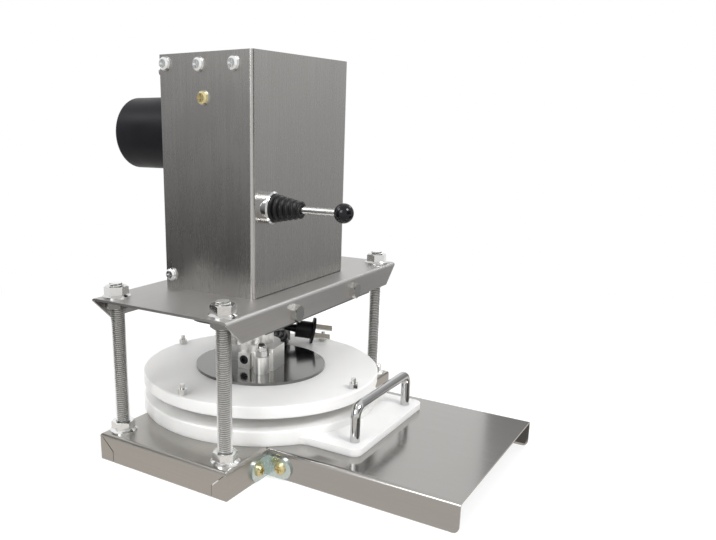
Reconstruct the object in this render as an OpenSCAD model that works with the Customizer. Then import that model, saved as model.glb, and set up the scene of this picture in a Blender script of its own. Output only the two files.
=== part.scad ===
// Electric dough press in millimetres. It stands on z = 0 and its front faces -Y.
// Every module is drawn around the press axis; on_axis() moves it so that the whole is centred.

/* [Base and tray] */
// Distance from the rods to the base's side edges
base_side = 15.5; // [13:0.5:25]
// Depth of the base
base_y = 135; // [124:1:170]
// Height of the base and the tray
base_h = 24; // [20:1:40]
// Thickness of the base and tray sheet
base_sheet = 1.5; // [1:0.1:2.5]
// Outer radius of the folds
fold_r = 3; // [2.6:0.1:5]
// Distance from each corner to the seam in the side flange
seam_inset = 14; // [8:1:25]
// Height where the corner seam turns to the corner
seam_turn = 9.5; // [6:0.5:18]
// Width of the corner seam
seam_w = 0.8; // [0.5:0.1:1.5]
// Width of the tray
tray_x = 178; // [160:1:200]
// Length of the tray in front of the base
tray_len = 162.5; // [120:0.5:220]
// Radius of the tray's lower front corners
tray_corner_r = 5; // [2:0.5:10]

/* [Corner brackets] */
// Length of a bracket leg
bracket_leg = 24; // [20:1:30]
// Width of a bracket
bracket_w = 18; // [12:1:19]
// Thickness of a bracket
bracket_t = 2; // [1.5:0.1:3]
// Height of the brackets' middle
bracket_z = 10; // [9.5:0.5:14]
// Distance from the bend to the screw
bracket_hole = 14; // [12:0.5:16]

/* [Rods and top plate] */
// Rod diameter
rod_d = 12; // [10:1:16]
// Distance of the rods outside the press discs, to each side
rod_out = 19; // [15:0.5:30]
// Distance between rods front to back
rod_span_y = 110; // [100:1:114]
// Rod end below the base's top face
rod_below = 16; // [14:1:20]
// Rod end above the top plate
rod_above = 12; // [10:0.5:30]
// Width of the nuts across flats
nut_af = 17.5; // [16:0.5:19]
// Height of a flange nut
nut_h = 9.5; // [8:0.5:14]
// Radius of a nut's flange
nut_flange_r = 11.5; // [10.5:0.1:11.8]
// Thickness of a nut's flange
nut_flange_t = 3; // [1.5:0.1:4]
// Height of a plain nut under the base
under_nut_h = 10; // [6:0.5:12]
// Height of a thin nut under the top plate
thin_nut_h = 6.5; // [5:0.5:10]
// Height of the top plate's upper face
plate_z = 142; // [140:1:170]
// Distance from the rods to the top plate's side edges
plate_side = 14.5; // [13:0.5:25]
// Depth of the top plate
plate_y = 138; // [136:1:160]
// Thickness of the top plate
plate_t = 2; // [1.5:0.1:2.4]
// Height of the plate's flanges
plate_flange = 20; // [18:0.5:22]
// How far each flange end slants in
flange_slant = 19; // [5:1:30]

/* [Guide beam and bolts] */
// Width of the guide beam
beam_x = 180; // [140:1:190]
// Height of the guide beam
beam_h = 20; // [18:0.5:22]
// Reach of the beam behind the press axis
beam_back = 18; // [17:0.5:24]
// Radius of the beam's rear corners
beam_corner_r = 20; // [5:1:30]
// Distance between the two flange bolts
bolt_span = 102; // [80:1:150]
// Diameter of a flange bolt
bolt_d = 8; // [6:1:12]
// Width of a bolt head across flats
bolt_af = 13; // [12:0.5:17]
// Height of a bolt head
bolt_head_h = 5.3; // [4:0.1:8]
// Depth of a bolt in the beam
bolt_depth = 18; // [12:1:24]
// Outer radius of the beam's bush
bush_r = 15.5; // [15:0.1:15.9]

/* [Press head] */
// Diameter of the ram
ram_d = 25; // [22:0.5:26]
// Room between the ram at rest and the drive box's top
ram_room = 33.5; // [31:0.5:36]
// Diameter of both press faces
disc_d = 220; // [200:1:224]
// Thickness of the upper press disc
upper_t = 10.7; // [8:0.1:14]
// Gap between the press faces at rest
press_gap = 11; // [10.6:0.1:14]
// Diameter of the steel flange disc
flange_d = 122; // [110:1:130]
// Thickness of the steel flange disc
flange_t = 2.5; // [2:0.1:4]
// Chamfer on the press disc's edges
disc_chamfer = 0.8; // [0.3:0.1:1.5]
// Distance of the four disc bolts from the press disc's edge
disc_bolt_in = 6; // [5:0.5:12]
// Turn of the disc bolts about the press axis
disc_bolt_turn = -5; // [-20:1:20]
// Length of a disc bolt above the press disc
disc_bolt_up = 9; // [6:0.5:12]

/* [Clamp hub] */
// Height of the hub
hub_h = 21; // [18:0.5:24]
// Radius of the hub's sleeve
hub_r = 19; // [17:0.5:20]
// Turn of the hub about the ram
hub_turn = 8.4; // [0:0.1:15]
// Distance of the hub's flat face from the ram's axis
hub_face = 22.9; // [21:0.1:25]
// Height of the two fixing bosses
boss_h = 15.5; // [12:0.5:17]
// Radius of a fixing boss
boss_r = 7; // [6.5:0.1:8]
// Distance of the bosses from the ram's axis
boss_ring = 31.1; // [29:0.1:33]
// Width of the pinch lug
lug_w = 12; // [10:0.5:14]
// Height of the pinch lug
lug_h = 14; // [12:0.5:16]
// Reach of the pinch lug from the ram's axis
lug_reach = 25; // [22:0.5:27]
// Height of the pinch screw above the flange disc
pinch_z = 8.3; // [6.5:0.1:9]
// Diameter of the two hub studs
stud_d = 6; // [5:0.5:7]
// Width of a dome nut across flats
dome_af = 10; // [9:0.5:11]
// Height of a dome nut
dome_nut_h = 12.5; // [10:0.5:12.8]

/* [Lower plate and handle] */
// Thickness of the lower plate under the press face
lower_t = 13; // [10:0.1:16]
// Thickness of the lower plate's neck
neck_t = 6; // [5:0.1:8]
// Width of the neck
neck_x = 132; // [124:1:150]
// Reach of the neck beyond the press disc's edge
neck_out = 28; // [24:0.5:40]
// Radius of the neck's front corners
neck_corner_r = 8; // [3:0.5:15]
// Radius of the fillets between neck and disc
neck_fillet = 15; // [8:0.5:25]
// Distance between the handle's legs
handle_span = 99; // [80:1:110]
// Diameter of the handle rod
handle_d = 8; // [6:0.5:10]
// Height of the handle above the neck
handle_h = 33.5; // [25:0.5:40]
// Centre-line radius of the handle's bends
handle_bend_r = 9; // [6:0.5:12]
// Distance of the handle from the press disc's edge
handle_out = 17; // [14:0.1:20]

/* [Drive box] */
// Width of the drive box
box_x = 150; // [148:1:170]
// Reach of the drive box in front of the press axis
box_front = 44.5; // [44:0.5:50]
// Reach of the drive box behind the press axis
box_back = 47.5; // [47:0.5:55]
// Height of the drive box
box_h = 191.5; // [190:0.5:210]
// Thickness of the drive box sheet
box_sheet = 1.2; // [0.8:0.1:1.5]
// Gap under the front panel
front_gap = 0.6; // [0.5:0.1:2]
// Depth of the turned edges inside the drive box
lip = 12; // [10.5:0.5:14]
// Depth of the lid's edges
lid_lip = 18; // [14:0.5:22]

/* [Motor and drive] */
// Diameter of the motor
motor_d = 66; // [58:1:68]
// Depth of the motor's axis below the drive box's top
motor_drop = 62.9; // [61:0.1:65]
// Distance of the motor's end from the press axis
motor_end = 146; // [120:1:180]
// Radius of the motor's rear edge
motor_edge_r = 4; // [2:0.5:8]
// Teeth on the pinion
pinion_teeth = 14; // [12:1:15]
// Width of rack and pinion
gear_w = 12; // [8:0.5:13]
// Distance of the rack's pitch line from the ram's axis
rack_pitch_x = 14.5; // [14.4:0.1:15]
// Diameter of the pinion shaft
shaft_d = 10; // [8:0.5:11]
// Thickness of the drive frame's walls
wall_t = 4; // [3:0.5:4]
// Space between the drive frame's walls
wall_gap = 29; // [28:0.5:29]
// Depth of the upper guide's underside below the motor's axis
guide_drop = 70.6; // [69:0.1:78]
// Height of the upper guide block
guide_h = 15; // [10:0.5:15]

/* [Joystick] */
// Joystick's place across the front, from the press axis
stick_x = -56.3; // [-57:0.1:-52]
// Height of the joystick above the top plate
stick_up = 72.7; // [64:0.1:78]
// Diameter of the bezel
bezel_d = 26; // [24:0.5:30]
// Height of the bezel in front of the panel
bezel_h = 8.5; // [6:0.5:10]
// Diameter of the threaded barrel
barrel_d = 22; // [20:0.5:22]
// Diameter of the stick
stick_d = 6; // [5:0.5:7]
// Radius of the stick's pivot ball
pivot_r = 6.8; // [6:0.1:7]
// Distance of the knob's middle from the panel
knob_reach = 69.9; // [60:0.1:80]
// Diameter of the knob
knob_d = 15.2; // [12:0.1:20]
// Length of the rubber boot
boot_len = 24; // [20:0.5:30]
// Ribs on the rubber boot
boot_ribs = 5; // [3:1:7]
// Radius of the boot's first rib
boot_base_r = 11.6; // [9:0.1:12]
// Radius of the boot's tip
boot_tip_r = 6.8; // [5:0.1:7.5]

/* [Mains cord] */
// Diameter of the cord
cord_d = 4.8; // [4:0.1:5]
// Inner radius of the coil, to the middle of the cord
coil_r = 19.5; // [19:0.1:21]
// Clear gap between neighbouring turns
coil_gap = 0.5; // [0.45:0.01:0.6]
// Length of the strain relief under the plate
relief_len = 22; // [20:1:24]
// Width of the plug's face
plug_w = 30; // [26:0.5:32]
// Thickness of the plug's face
plug_t = 19; // [16:0.5:22]
// Length of the plug's body
plug_len = 18; // [14:0.5:20]
// Length of the blades
blade_len = 17.5; // [15:0.5:18]

/* [Fits] */
// Radial clearance of running fits and fitted screws
fit = 0.05; // [0.02:0.01:0.1]
// Radial clearance of through holes
hole_gap = 0.5; // [0.3:0.1:0.8]
// Clearance under the sliding plate
slide_gap = 0.1; // [0.05:0.05:0.3]
// Clearance between a soft piece and its seat
soft_gap = 0.3; // [0.2:0.05:0.5]
// Clearance between the panels of the drive box
panel_gap = 0.2; // [0.1:0.05:0.3]

/* [Hidden] */
$fn = 48;

// Cutters reach this far past the face that they open
past = 1;

// Levels
plate_under = plate_z - plate_t;
lower_z = base_h + slide_gap;
lower_top = lower_z + lower_t;
neck_top = lower_z + neck_t;
upper_z = lower_top + press_gap;
upper_top = upper_z + upper_t;
flange_top = upper_top + flange_t;
box_top = plate_z + box_h;
beam_z = plate_under - beam_h;
boss_top = flange_top + boss_h;
ram_top = box_top - ram_room;
motor_z = box_top - motor_drop;
guide_z = motor_z - guide_drop;
stick_z = plate_z + stick_up;

// Across the front
rod_span_x = disc_d + 2 * rod_out;
base_x = rod_span_x + 2 * base_side;
plate_x = rod_span_x + 2 * plate_side;

// Front to back
neck_front = disc_d / 2 + neck_out;
handle_y = disc_d / 2 + handle_out;
tray_front = -base_y / 2 - tray_len;
axis_y = -(tray_front + motor_end) / 2;
flange_in = plate_y / 2 - plate_t;

// Small screws: shank radius, head radius, head height
small_r = 2;
small_head_r = 4.9;
small_head_h = 2.7;
head_taper = 0.7;
washer_r = 5.7;
washer_t = 1;
recess_l = 6;
recess_w = 1.4;
recess_depth = 1.6;
small_nut_af = 7;
small_nut_h = 3.2;
small_nut_reach = 5;
bracket_screw_len = 8;
panel_screw_len = 6;

// Medium cap screws: shank radius, head radius, head height
cap_r = 3;
cap_head_r = 5;
cap_head_h = 6;
socket_r = 2.5;
socket_depth = 3;

// Fasteners on the box: [y, z] on the side panels, [x, z] on the back
screw_in = 5.8;
top_screws_y = [box_back - screw_in, 7, -27];
top_screws_drop = [7.2, 9, 9.5];
low_screw_up = 11.7;
back_screw_in = 5.8;
back_screw_drop = 12.5;
clip_drop = 34.2;
side_screws = concat([for (i = [0 : 2]) [top_screws_y[i], box_top - top_screws_drop[i]]],
    [[box_back - screw_in, plate_z + low_screw_up]]);
back_screws_at = [for (side = [-1, 1]) [side * (box_x / 2 - back_screw_in), box_top - back_screw_drop]];
clip_at = [3, box_top - clip_drop];

// Rods and nuts
nut_turn = 13;
hex_slope = 30;
rod_places = [for (x = [-1, 1], y = [-1, 1]) [x * rod_span_x / 2, y * rod_span_y / 2]];

// Drive
gear_module = 2;
pitch_r = gear_module * pinion_teeth / 2;
pinion_x = rack_pitch_x + pitch_r;
rack_pitch = PI * gear_module;
pressure = 20;
rack_addendum = 0.8 * gear_module;
dedendum = 1.25 * gear_module;
backlash = 0.12;
rack_back_t = 3;
rack_below = 43;
rack_above = 26;
rack_flat = rack_pitch_x - dedendum - rack_back_t;
rack_low = motor_z - rack_below;
rack_high = motor_z + rack_above;
rack_first = -6;
rack_last = 3;
flank_steps = 5;
wall_out = wall_gap / 2 + wall_t;
wall_left = -28;
wall_right = 55;
wall_above = 31.4;
wall_top = motor_z + wall_above;
bearing_r = 8;
shaft_front = -20;
shaft_back = 30;
frame_foot = plate_z + wall_t;
frame_screw_places = [[-21, -8], [-21, 8], [46, -8], [46, 8]];
frame_screw_depth = 12;
guide_x = 44;
gear_left = -30;
gear_right = 54;
gear_below = 36.6;
gear_above = 35.4;
gear_low = motor_z - gear_below;
gear_high = motor_z + gear_above;
gear_back = 44;
gear_screw_in = 8;
gear_screw_places = [for (x = [gear_left + gear_screw_in, gear_right - gear_screw_in],
    z = [gear_low + gear_screw_in, gear_high - gear_screw_in]) [x, z]];
gear_screw_depth = 10;
motor_neck_r = 26;

// Capacitor and terminal block behind the left panel
cap_body_r = 17;
cap_body_h = 50;
cap_below = 33.3;
cap_low = clip_at[1] - cap_below;
clip_t = 1;
clip_h = 12;
clip_tab = 10;
cap_x = -box_x / 2 + box_sheet + clip_t + cap_body_r + fit;
block_place = [-60, 8];
block_size = [24, 30, 16];
block_hole_r = 2.5;
block_holes = 3;

// Joystick
panel_y = -box_front;
bezel_y = panel_y - bezel_h;
bezel_bore_r = 7.1;
pivot_out = 2;
pivot_y = panel_y - pivot_out;
barrel_len = 16;
locknut_af = 27;
locknut_h = 4;
stick_tail = 9;
switch_size = 30;
switch_len = 34;
boot_seat = 0.3;
boot_wall = 1.6;
boot_dip = 2.2;
boot_dip_fade = 0.6;
boot_bore = stick_d / 2 + soft_gap;
knob_y = panel_y - knob_reach;

// Hub: the boss angles are measured in the hub's own turned frame
boss_angles = [-152.4, 87.5];
block_left = -20.5;
block_right = 3.7;
block_in = 4;
pinch_y = 5;
pinch_head_r = 4.2;
pinch_head_h = 5;
pinch_r = 2.5;
dome_hex_h = 5.5;
dome_inset = 0.3;
stud_in_nut = 8;
sink_depth = 0.6;

disc_bolt_ring = disc_d / 2 - disc_bolt_in;

// How far a neck fillet cuts into the disc and the neck, so that it meets both at an angle
fillet_bite = 0.3;

// Mains cord
cord_r = cord_d / 2;
coil_pitch = cord_d + coil_gap;
coil_turns = 3;
coil_place = [47, 40];
coil_start = 120;
coil_end_turn = 5.69;
coil_rings = 24;
coil_sides = 6;
coil_z = flange_top + soft_gap + cord_r;
gland_place = [10, 35];
relief_end = plate_under - relief_len;
gland_r = 7.5;
gland_flange_r = 9.5;
gland_flange_t = 3;
relief_root_r = 6;
relief_tip_r = 3.4;
gland_nut_h = 5;
tie_turn = -35;
tie_w = 5;
tie_t = 0.8;
plug_turn = -55.6;
plug_pitch = 8;
plug_roll = 30;
plug_lift = 15.8;
plug_tail = [68.3, 17, flange_top + plug_lift];
plug_relief_len = 13;
plug_face_t = 2.5;
plug_relief_r = 4.4;
plug_grip_w = 0.62 * plug_w;
plug_grip_t = 0.8 * plug_t;
blade_w = 6.3;
blade_t = 1.5;
blade_span = 12.7;
blade_root = 6;
plug_reach = plug_relief_len + plug_len;

// Hand-chosen points of the cord's free stretch, from the strain relief to the coil
drop_points = [
    [10, 35, 113], [10.2, 35.6, 107.5], [10.8, 37.5, 100.5], [11.8, 40.2, 93], [12.9, 43.7, 86],
    [14, 47.6, 79.5], [15, 52, 74], [16.3, 56.8, 69.8], [18.2, 61.3, 66.6], [21, 65.2, 64.8]
];

// Hand-chosen points of the cord between the coil and the plug
lead_points = [
    [18, 22.4, 70.2], [15.3, 27.8, 71.6], [13.9, 36.5, 73.4], [17, 45.5, 74.8], [24, 51.8, 75.8],
    [33, 54, 76.6], [42.4, 51.5, 77.4], [51, 43.8, 78.2], [57, 33.8, 78.6]
];

// Shared shapes

module on_axis() {
    translate([0, axis_y, 0])
        children();
}

// An upright outline with a flat foot and rounded top corners
module arch_outline(w, h, r) {
    translate([-w / 2, 0])
        square([w, h - r]);
    translate([-w / 2 + r, 0])
        square([w - 2 * r, h]);
    for (side = [-1, 1])
        translate([side * (w / 2 - r), h - r])
            circle(r);
}

// Draws an outline of X and Z from y0 to y1
module along_y(y0, y1) {
    translate([0, y1, 0])
        rotate([90, 0, 0])
            linear_extrude(y1 - y0)
                children();
}

// Draws an outline of Y and Z from x0 to x1
module along_x(x0, x1) {
    translate([x0, 0, 0])
        rotate([90, 0, 90])
            linear_extrude(x1 - x0)
                children();
}

module rod_x(r, x0, x1) {
    translate([x0, 0, 0])
        rotate([0, 90, 0])
            cylinder(r = r, h = x1 - x0);
}

module rod_y(r, y0, y1) {
    translate([0, y1, 0])
        rotate([90, 0, 0])
            cylinder(r = r, h = y1 - y0);
}

module at_rods() {
    for (place = rod_places)
        translate([place[0], place[1], 0])
            children();
}

module mirrored_x() {
    children();
    mirror([1, 0, 0])
        children();
}

module hexagon(af, h) {
    cylinder(d = af / cos(30), h = h, $fn = 6);
}

// A hexagon whose upper corners are turned off by a cone
module turned_hexagon(af, h) {
    intersection() {
        hexagon(af, h);
        cylinder(r1 = af / 2 + h / tan(hex_slope), r2 = af / 2, h = h);
    }
}

module hex_nut(af, h, bore_r) {
    difference() {
        hexagon(af, h);
        translate([0, 0, -past])
            cylinder(r = bore_r, h = h + 2 * past);
    }
}

// A flange nut that stands on its flange
module flange_nut() {
    difference() {
        union() {
            rotate([0, 0, nut_turn])
                turned_hexagon(nut_af, nut_h);
            cylinder(r = nut_flange_r, h = nut_flange_t / 2);
            translate([0, 0, nut_flange_t / 2])
                cylinder(r1 = nut_flange_r, r2 = nut_af / 2, h = nut_flange_t / 2);
        }
        translate([0, 0, -past])
            cylinder(d = rod_d + 2 * fit, h = nut_h + 2 * past);
    }
}

// A cross-head screw that points down, its head seated on z = seat
module cross_screw(length, seat = 0) {
    difference() {
        union() {
            translate([0, 0, -length])
                cylinder(r = small_r, h = length + seat + past);
            translate([0, 0, seat])
                cylinder(r = small_head_r, h = small_head_h / 2);
            translate([0, 0, seat + small_head_h / 2])
                cylinder(r1 = small_head_r, r2 = small_head_r * head_taper, h = small_head_h / 2);
        }
        for (turn = [0, 90])
            rotate([0, 0, turn])
                translate([-recess_l / 2, -recess_w / 2, seat + small_head_h - recess_depth])
                    cube([recess_l, recess_w, recess_depth + past]);
    }
}

module washer() {
    difference() {
        cylinder(r = washer_r, h = washer_t);
        translate([0, 0, -past])
            cylinder(r = small_r + fit, h = washer_t + 2 * past);
    }
}

// A socket-head screw seated on z = 0 and pointing down
module cap_screw(length) {
    difference() {
        union() {
            translate([0, 0, -length])
                cylinder(r = cap_r, h = length + past / 2);
            cylinder(r = cap_head_r, h = cap_head_h);
        }
        translate([0, 0, cap_head_h - socket_depth])
            cylinder(r = socket_r, h = socket_depth + past, $fn = 6);
    }
}

// Turns a screw so that its head faces left, front or back
module facing_left() {
    rotate([0, -90, 0])
        children();
}

module facing_front() {
    rotate([90, 0, 0])
        children();
}

module facing_back() {
    rotate([-90, 0, 0])
        children();
}

// Cord helpers

// A direction that no stretch of the cord follows, from which its rings are turned
off_path = [0.31, 0.17, 1];
function unit(v) = v / norm(v);
function path_tangent(p, i) = unit(p[min(i + 1, len(p) - 1)] - p[max(i - 1, 0)]);
function ring_points(p, i, sides, r) =
    let (t = path_tangent(p, i), side = unit(cross(t, off_path)), up = cross(side, t))
    [for (k = [0 : sides - 1]) p[i] + r * (cos(360 * k / sides) * side + sin(360 * k / sides) * up)];

// One closed tube of triangles along a path
module tube(p, sides, r) {
    n = len(p);
    points = [for (i = [0 : n - 1]) each ring_points(p, i, sides, r)];
    walls = [for (i = [0 : n - 2], k = [0 : sides - 1])
        let (a = i * sides + k, b = i * sides + (k + 1) % sides)
        each [[a, b, b + sides], [a, b + sides, a + sides]]];
    low_end = [for (k = [1 : sides - 2]) [0, k + 1, k]];
    last = (n - 1) * sides;
    high_end = [for (k = [1 : sides - 2]) [last, last + k, last + k + 1]];
    polyhedron(points = points, faces = concat(walls, low_end, high_end), convexity = 10);
}

// A smooth curve through the given points, with a number of steps to each stretch
function curve_point(a, b, c, d, s) =
    0.5 * (2 * b + (c - a) * s + (2 * a - 5 * b + 4 * c - d) * s * s + (3 * b - a - 3 * c + d) * s * s * s);
function smooth(p, steps) = concat(
    [for (i = [0 : len(p) - 2], k = [0 : steps - 1])
        curve_point(p[max(i - 1, 0)], p[i], p[i + 1], p[min(i + 2, len(p) - 1)], k / steps)],
    [p[len(p) - 1]]);

// The coil winds in on its lower layer, climbs, and winds out on its upper layer
function coil_point(t) =
    let (r = coil_r + coil_pitch * abs(t - coil_turns), a = coil_start - 360 * t,
        climb = min(1, max(0, (t - coil_turns) * 2 + 0.5)))
    [coil_place[0] + r * cos(a), coil_place[1] + r * sin(a), coil_z + coil_pitch * climb];
coil_steps = round(coil_end_turn * coil_rings);
coil_path = [for (i = [0 : coil_steps]) coil_point(i * coil_end_turn / coil_steps)];
coil_out_r = coil_r + coil_turns * coil_pitch + cord_r;
half_turn = coil_rings / 2;
coil_self_gap = min([for (i = [0 : coil_steps - half_turn], j = [i + half_turn : coil_steps])
    norm(coil_path[i] - coil_path[j])]) - cord_d;

// Straight ends, one diameter long, square to the pieces that the cord meets
coil_in = unit(coil_path[1] - coil_path[0]);
coil_out = unit(coil_path[coil_steps] - coil_path[coil_steps - 1]);
plug_axis = [cos(plug_turn) * cos(plug_pitch), sin(plug_turn) * cos(plug_pitch), -sin(plug_pitch)];
gland_end = [gland_place[0], gland_place[1], relief_end];
drop_path = concat([gland_end], smooth(concat(drop_points, [coil_path[0] - cord_d * coil_in]), 2),
    [coil_path[0]]);
lead_path = concat([coil_path[coil_steps]],
    smooth(concat([coil_path[coil_steps] + cord_d * coil_out], lead_points,
        [plug_tail - cord_d * plug_axis]), 2),
    [plug_tail]);

// Base and tray

module pan(x, y, h, r) {
    intersection() {
        along_y(-y / 2, y / 2)
            arch_outline(x, h, r);
        along_x(-x / 2, x / 2)
            arch_outline(y, h, r);
    }
}

// The slit in a side flange, from its foot to the corner
module seam_outline() {
    foot = -base_y / 2 + seam_inset;
    corner = -base_y / 2 + fold_r;
    top = base_h - fold_r;
    polygon([
        [foot, -past], [foot + seam_w, -past], [foot + seam_w, seam_turn + seam_w], [corner, top],
        [corner - seam_w, top], [foot, seam_turn]
    ]);
}

module base_frame() {
    color("silver")
        difference() {
            pan(base_x, base_y, base_h, fold_r);
            translate([0, 0, -past])
                pan(base_x - 2 * base_sheet, base_y - 2 * base_sheet, base_h - base_sheet + past,
                    fold_r - base_sheet);
            at_rods()
                cylinder(d = rod_d + 2 * hole_gap, h = base_h + past);
            for (side_x = [0, 1], side_y = [0, 1])
                mirror([side_x, 0, 0])
                    mirror([0, side_y, 0])
                        along_x(base_x / 2 - base_sheet - past, base_x / 2 + past)
                            seam_outline();
            mirrored_x()
                translate([tray_x / 2 + bracket_hole, 0, bracket_z])
                    rod_y(small_r + hole_gap, -base_y / 2 - past, -base_y / 2 + base_sheet + past);
        }
}

// Square waste with a round bite, which rounds a lower front corner of the tray
module corner_waste() {
    difference() {
        translate([tray_front - past, -past])
            square([tray_corner_r + past, tray_corner_r + past]);
        translate([tray_front + tray_corner_r, tray_corner_r])
            circle(tray_corner_r);
    }
}

module slide_tray() {
    color("gainsboro")
        difference() {
            along_y(tray_front, -base_y / 2)
                arch_outline(tray_x, base_h, fold_r);
            translate([0, 0, -past])
                along_y(tray_front - past, -base_y / 2 + past)
                    arch_outline(tray_x - 2 * base_sheet, base_h - base_sheet + past, fold_r - base_sheet);
            along_x(-tray_x / 2 - past, tray_x / 2 + past)
                corner_waste();
            translate([0, -base_y / 2 - bracket_hole, bracket_z])
                rod_x(small_r + hole_gap, -tray_x / 2 - past, tray_x / 2 + past);
        }
}

// One bracket leg from the bend at the origin, with a round end and a hole
module bracket_leg_outline() {
    difference() {
        union() {
            translate([0, -bracket_w / 2])
                square([bracket_leg - bracket_w / 2, bracket_w]);
            translate([bracket_leg - bracket_w / 2, 0])
                circle(bracket_w / 2);
        }
        translate([bracket_hole, 0])
            circle(small_r + hole_gap / 2);
    }
}

module corner_brackets() {
    color("lightsteelblue")
        mirrored_x()
            translate([tray_x / 2, -base_y / 2, bracket_z]) {
                along_y(-bracket_t, 0)
                    bracket_leg_outline();
                mirror([0, 1, 0])
                    along_x(0, bracket_t)
                        bracket_leg_outline();
            }
}

module bracket_screws() {
    color("goldenrod")
        mirrored_x() {
            translate([tray_x / 2 + bracket_hole, -base_y / 2 - bracket_t, bracket_z])
                facing_front()
                    cross_screw(bracket_screw_len);
            translate([tray_x / 2 + bracket_t, -base_y / 2 - bracket_hole, bracket_z])
                rotate([0, 90, 0])
                    cross_screw(bracket_screw_len);
        }
}

module bracket_nuts() {
    color("gold")
        mirrored_x() {
            translate([tray_x / 2 + bracket_hole, -base_y / 2 + base_sheet, bracket_z])
                facing_back()
                    hex_nut(small_nut_af, small_nut_h, small_r + fit);
            translate([tray_x / 2 - base_sheet, -base_y / 2 - bracket_hole, bracket_z])
                facing_left()
                    hex_nut(small_nut_af, small_nut_h, small_r + fit);
        }
}

// Rods and top plate

module tie_rods() {
    low = base_h - rod_below;
    high = plate_z + rod_above;
    tip = 1;
    color("darkgray")
        at_rods() {
            translate([0, 0, low])
                cylinder(d1 = rod_d - 2 * tip, d2 = rod_d, h = tip);
            translate([0, 0, low + tip])
                cylinder(d = rod_d, h = high - low - 2 * tip);
            translate([0, 0, high - tip])
                cylinder(d1 = rod_d, d2 = rod_d - 2 * tip, h = tip);
        }
}

module base_under_nuts() {
    color("lightgray")
        at_rods()
            translate([0, 0, base_h - base_sheet - under_nut_h])
                hex_nut(nut_af, under_nut_h, rod_d / 2 + fit);
}

module base_top_nuts() {
    color("lightgray")
        at_rods()
            translate([0, 0, base_h])
                flange_nut();
}

module plate_under_nuts() {
    color("lightgray")
        at_rods()
            translate([0, 0, plate_under])
                mirror([0, 0, 1])
                    hex_nut(nut_af, thin_nut_h, rod_d / 2 + fit);
}

module plate_top_nuts() {
    color("lightgray")
        at_rods()
            translate([0, 0, plate_z])
                flange_nut();
}

// The waste below the slanted right end of the flanges
module slant_outline() {
    foot = plate_z - plate_flange;
    polygon([
        [plate_x / 2 + past, plate_under], [plate_x / 2, plate_under],
        [plate_x / 2 - flange_slant, foot], [plate_x / 2 - flange_slant, foot - past],
        [plate_x / 2 + past, foot - past]
    ]);
}

module top_plate() {
    foot = plate_z - plate_flange;
    color("silver")
        difference() {
            translate([0, 0, foot])
                along_x(-plate_x / 2, plate_x / 2)
                    arch_outline(plate_y, plate_flange, fold_r);
            translate([0, 0, foot - past])
                along_x(-plate_x / 2 - past, plate_x / 2 + past)
                    arch_outline(plate_y - 2 * plate_t, plate_flange - plate_t + past, fold_r - plate_t);
            mirrored_x()
                along_y(-plate_y, plate_y)
                    slant_outline();
            translate([0, 0, foot])
                at_rods()
                    cylinder(d = rod_d + 2 * hole_gap, h = plate_flange + past);
            translate([0, 0, foot]) {
                cylinder(d = ram_d + 4 * hole_gap, h = plate_flange + past);
                translate([gland_place[0], gland_place[1], 0])
                    cylinder(r = gland_r + hole_gap, h = plate_flange + past);
                for (place = frame_screw_places)
                    translate([place[0], place[1], 0])
                        cylinder(r = cap_r + hole_gap, h = plate_flange + past);
            }
            mirrored_x()
                translate([bolt_span / 2, 0, beam_z + beam_h / 2])
                    rod_y(bolt_d / 2 + hole_gap, -plate_y / 2 - past, -flange_in + past);
        }
}

module flange_bolts() {
    color("lightgray")
        mirrored_x()
            translate([bolt_span / 2, -plate_y / 2, beam_z + beam_h / 2])
                facing_front() {
                    rotate([0, 0, 90])
                        turned_hexagon(bolt_af, bolt_head_h);
                    translate([0, 0, -plate_t - bolt_depth])
                        cylinder(d = bolt_d, h = plate_t + bolt_depth + past);
                }
}

// Plan of the guide beam, which rounds its rear corners
module beam_outline() {
    translate([0, -flange_in])
        arch_outline(beam_x, flange_in + beam_back, beam_corner_r);
}

module guide_beam() {
    chamfer = fold_r - plate_t + past;
    color("dimgray")
        difference() {
            translate([0, 0, beam_z])
                linear_extrude(beam_h)
                    beam_outline();
            along_x(-beam_x / 2 - past, beam_x / 2 + past)
                polygon([
                    [-flange_in - past, plate_under - chamfer - past],
                    [-flange_in + chamfer + past, plate_under + past],
                    [-flange_in - past, plate_under + past]
                ]);
            translate([0, 0, beam_z - past])
                cylinder(r = bush_r + fit, h = beam_h + 2 * past);
            mirrored_x()
                translate([bolt_span / 2, 0, beam_z + beam_h / 2])
                    rod_y(bolt_d / 2 + fit, -flange_in - past, -flange_in + bolt_depth + past);
            for (place = frame_screw_places)
                translate([place[0], place[1], plate_under - frame_screw_depth])
                    cylinder(r = cap_r + fit, h = frame_screw_depth + past);
        }
}

module beam_bush() {
    color("peru")
        translate([0, 0, beam_z])
            difference() {
                cylinder(r = bush_r, h = beam_h);
                translate([0, 0, -past])
                    cylinder(d = ram_d + 2 * fit, h = beam_h + 2 * past);
            }
}

// Drive

module drive_frame() {
    color("slategray")
        difference() {
            translate([wall_left, -wall_out, plate_z])
                cube([wall_right - wall_left, 2 * wall_out, wall_top - plate_z]);
            translate([wall_left - past, -wall_gap / 2, frame_foot])
                cube([wall_right - wall_left + 2 * past, wall_gap, wall_top - frame_foot + past]);
            translate([0, 0, plate_z - past])
                cylinder(d = ram_d + 4 * hole_gap, h = wall_t + 2 * past);
            for (place = frame_screw_places)
                translate([place[0], place[1], plate_z - past])
                    cylinder(r = cap_r + hole_gap, h = wall_t + 2 * past);
            translate([pinion_x, 0, motor_z])
                rod_y(bearing_r + fit, -wall_out - past, wall_out + past);
            for (place = gear_screw_places)
                translate([place[0], 0, place[1]])
                    rod_y(cap_r + hole_gap, 0, wall_out + past);
        }
}

module frame_screws() {
    color("dimgray")
        for (place = frame_screw_places)
            translate([place[0], place[1], frame_foot])
                cap_screw(wall_t + plate_t + frame_screw_depth - past);
}

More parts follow.
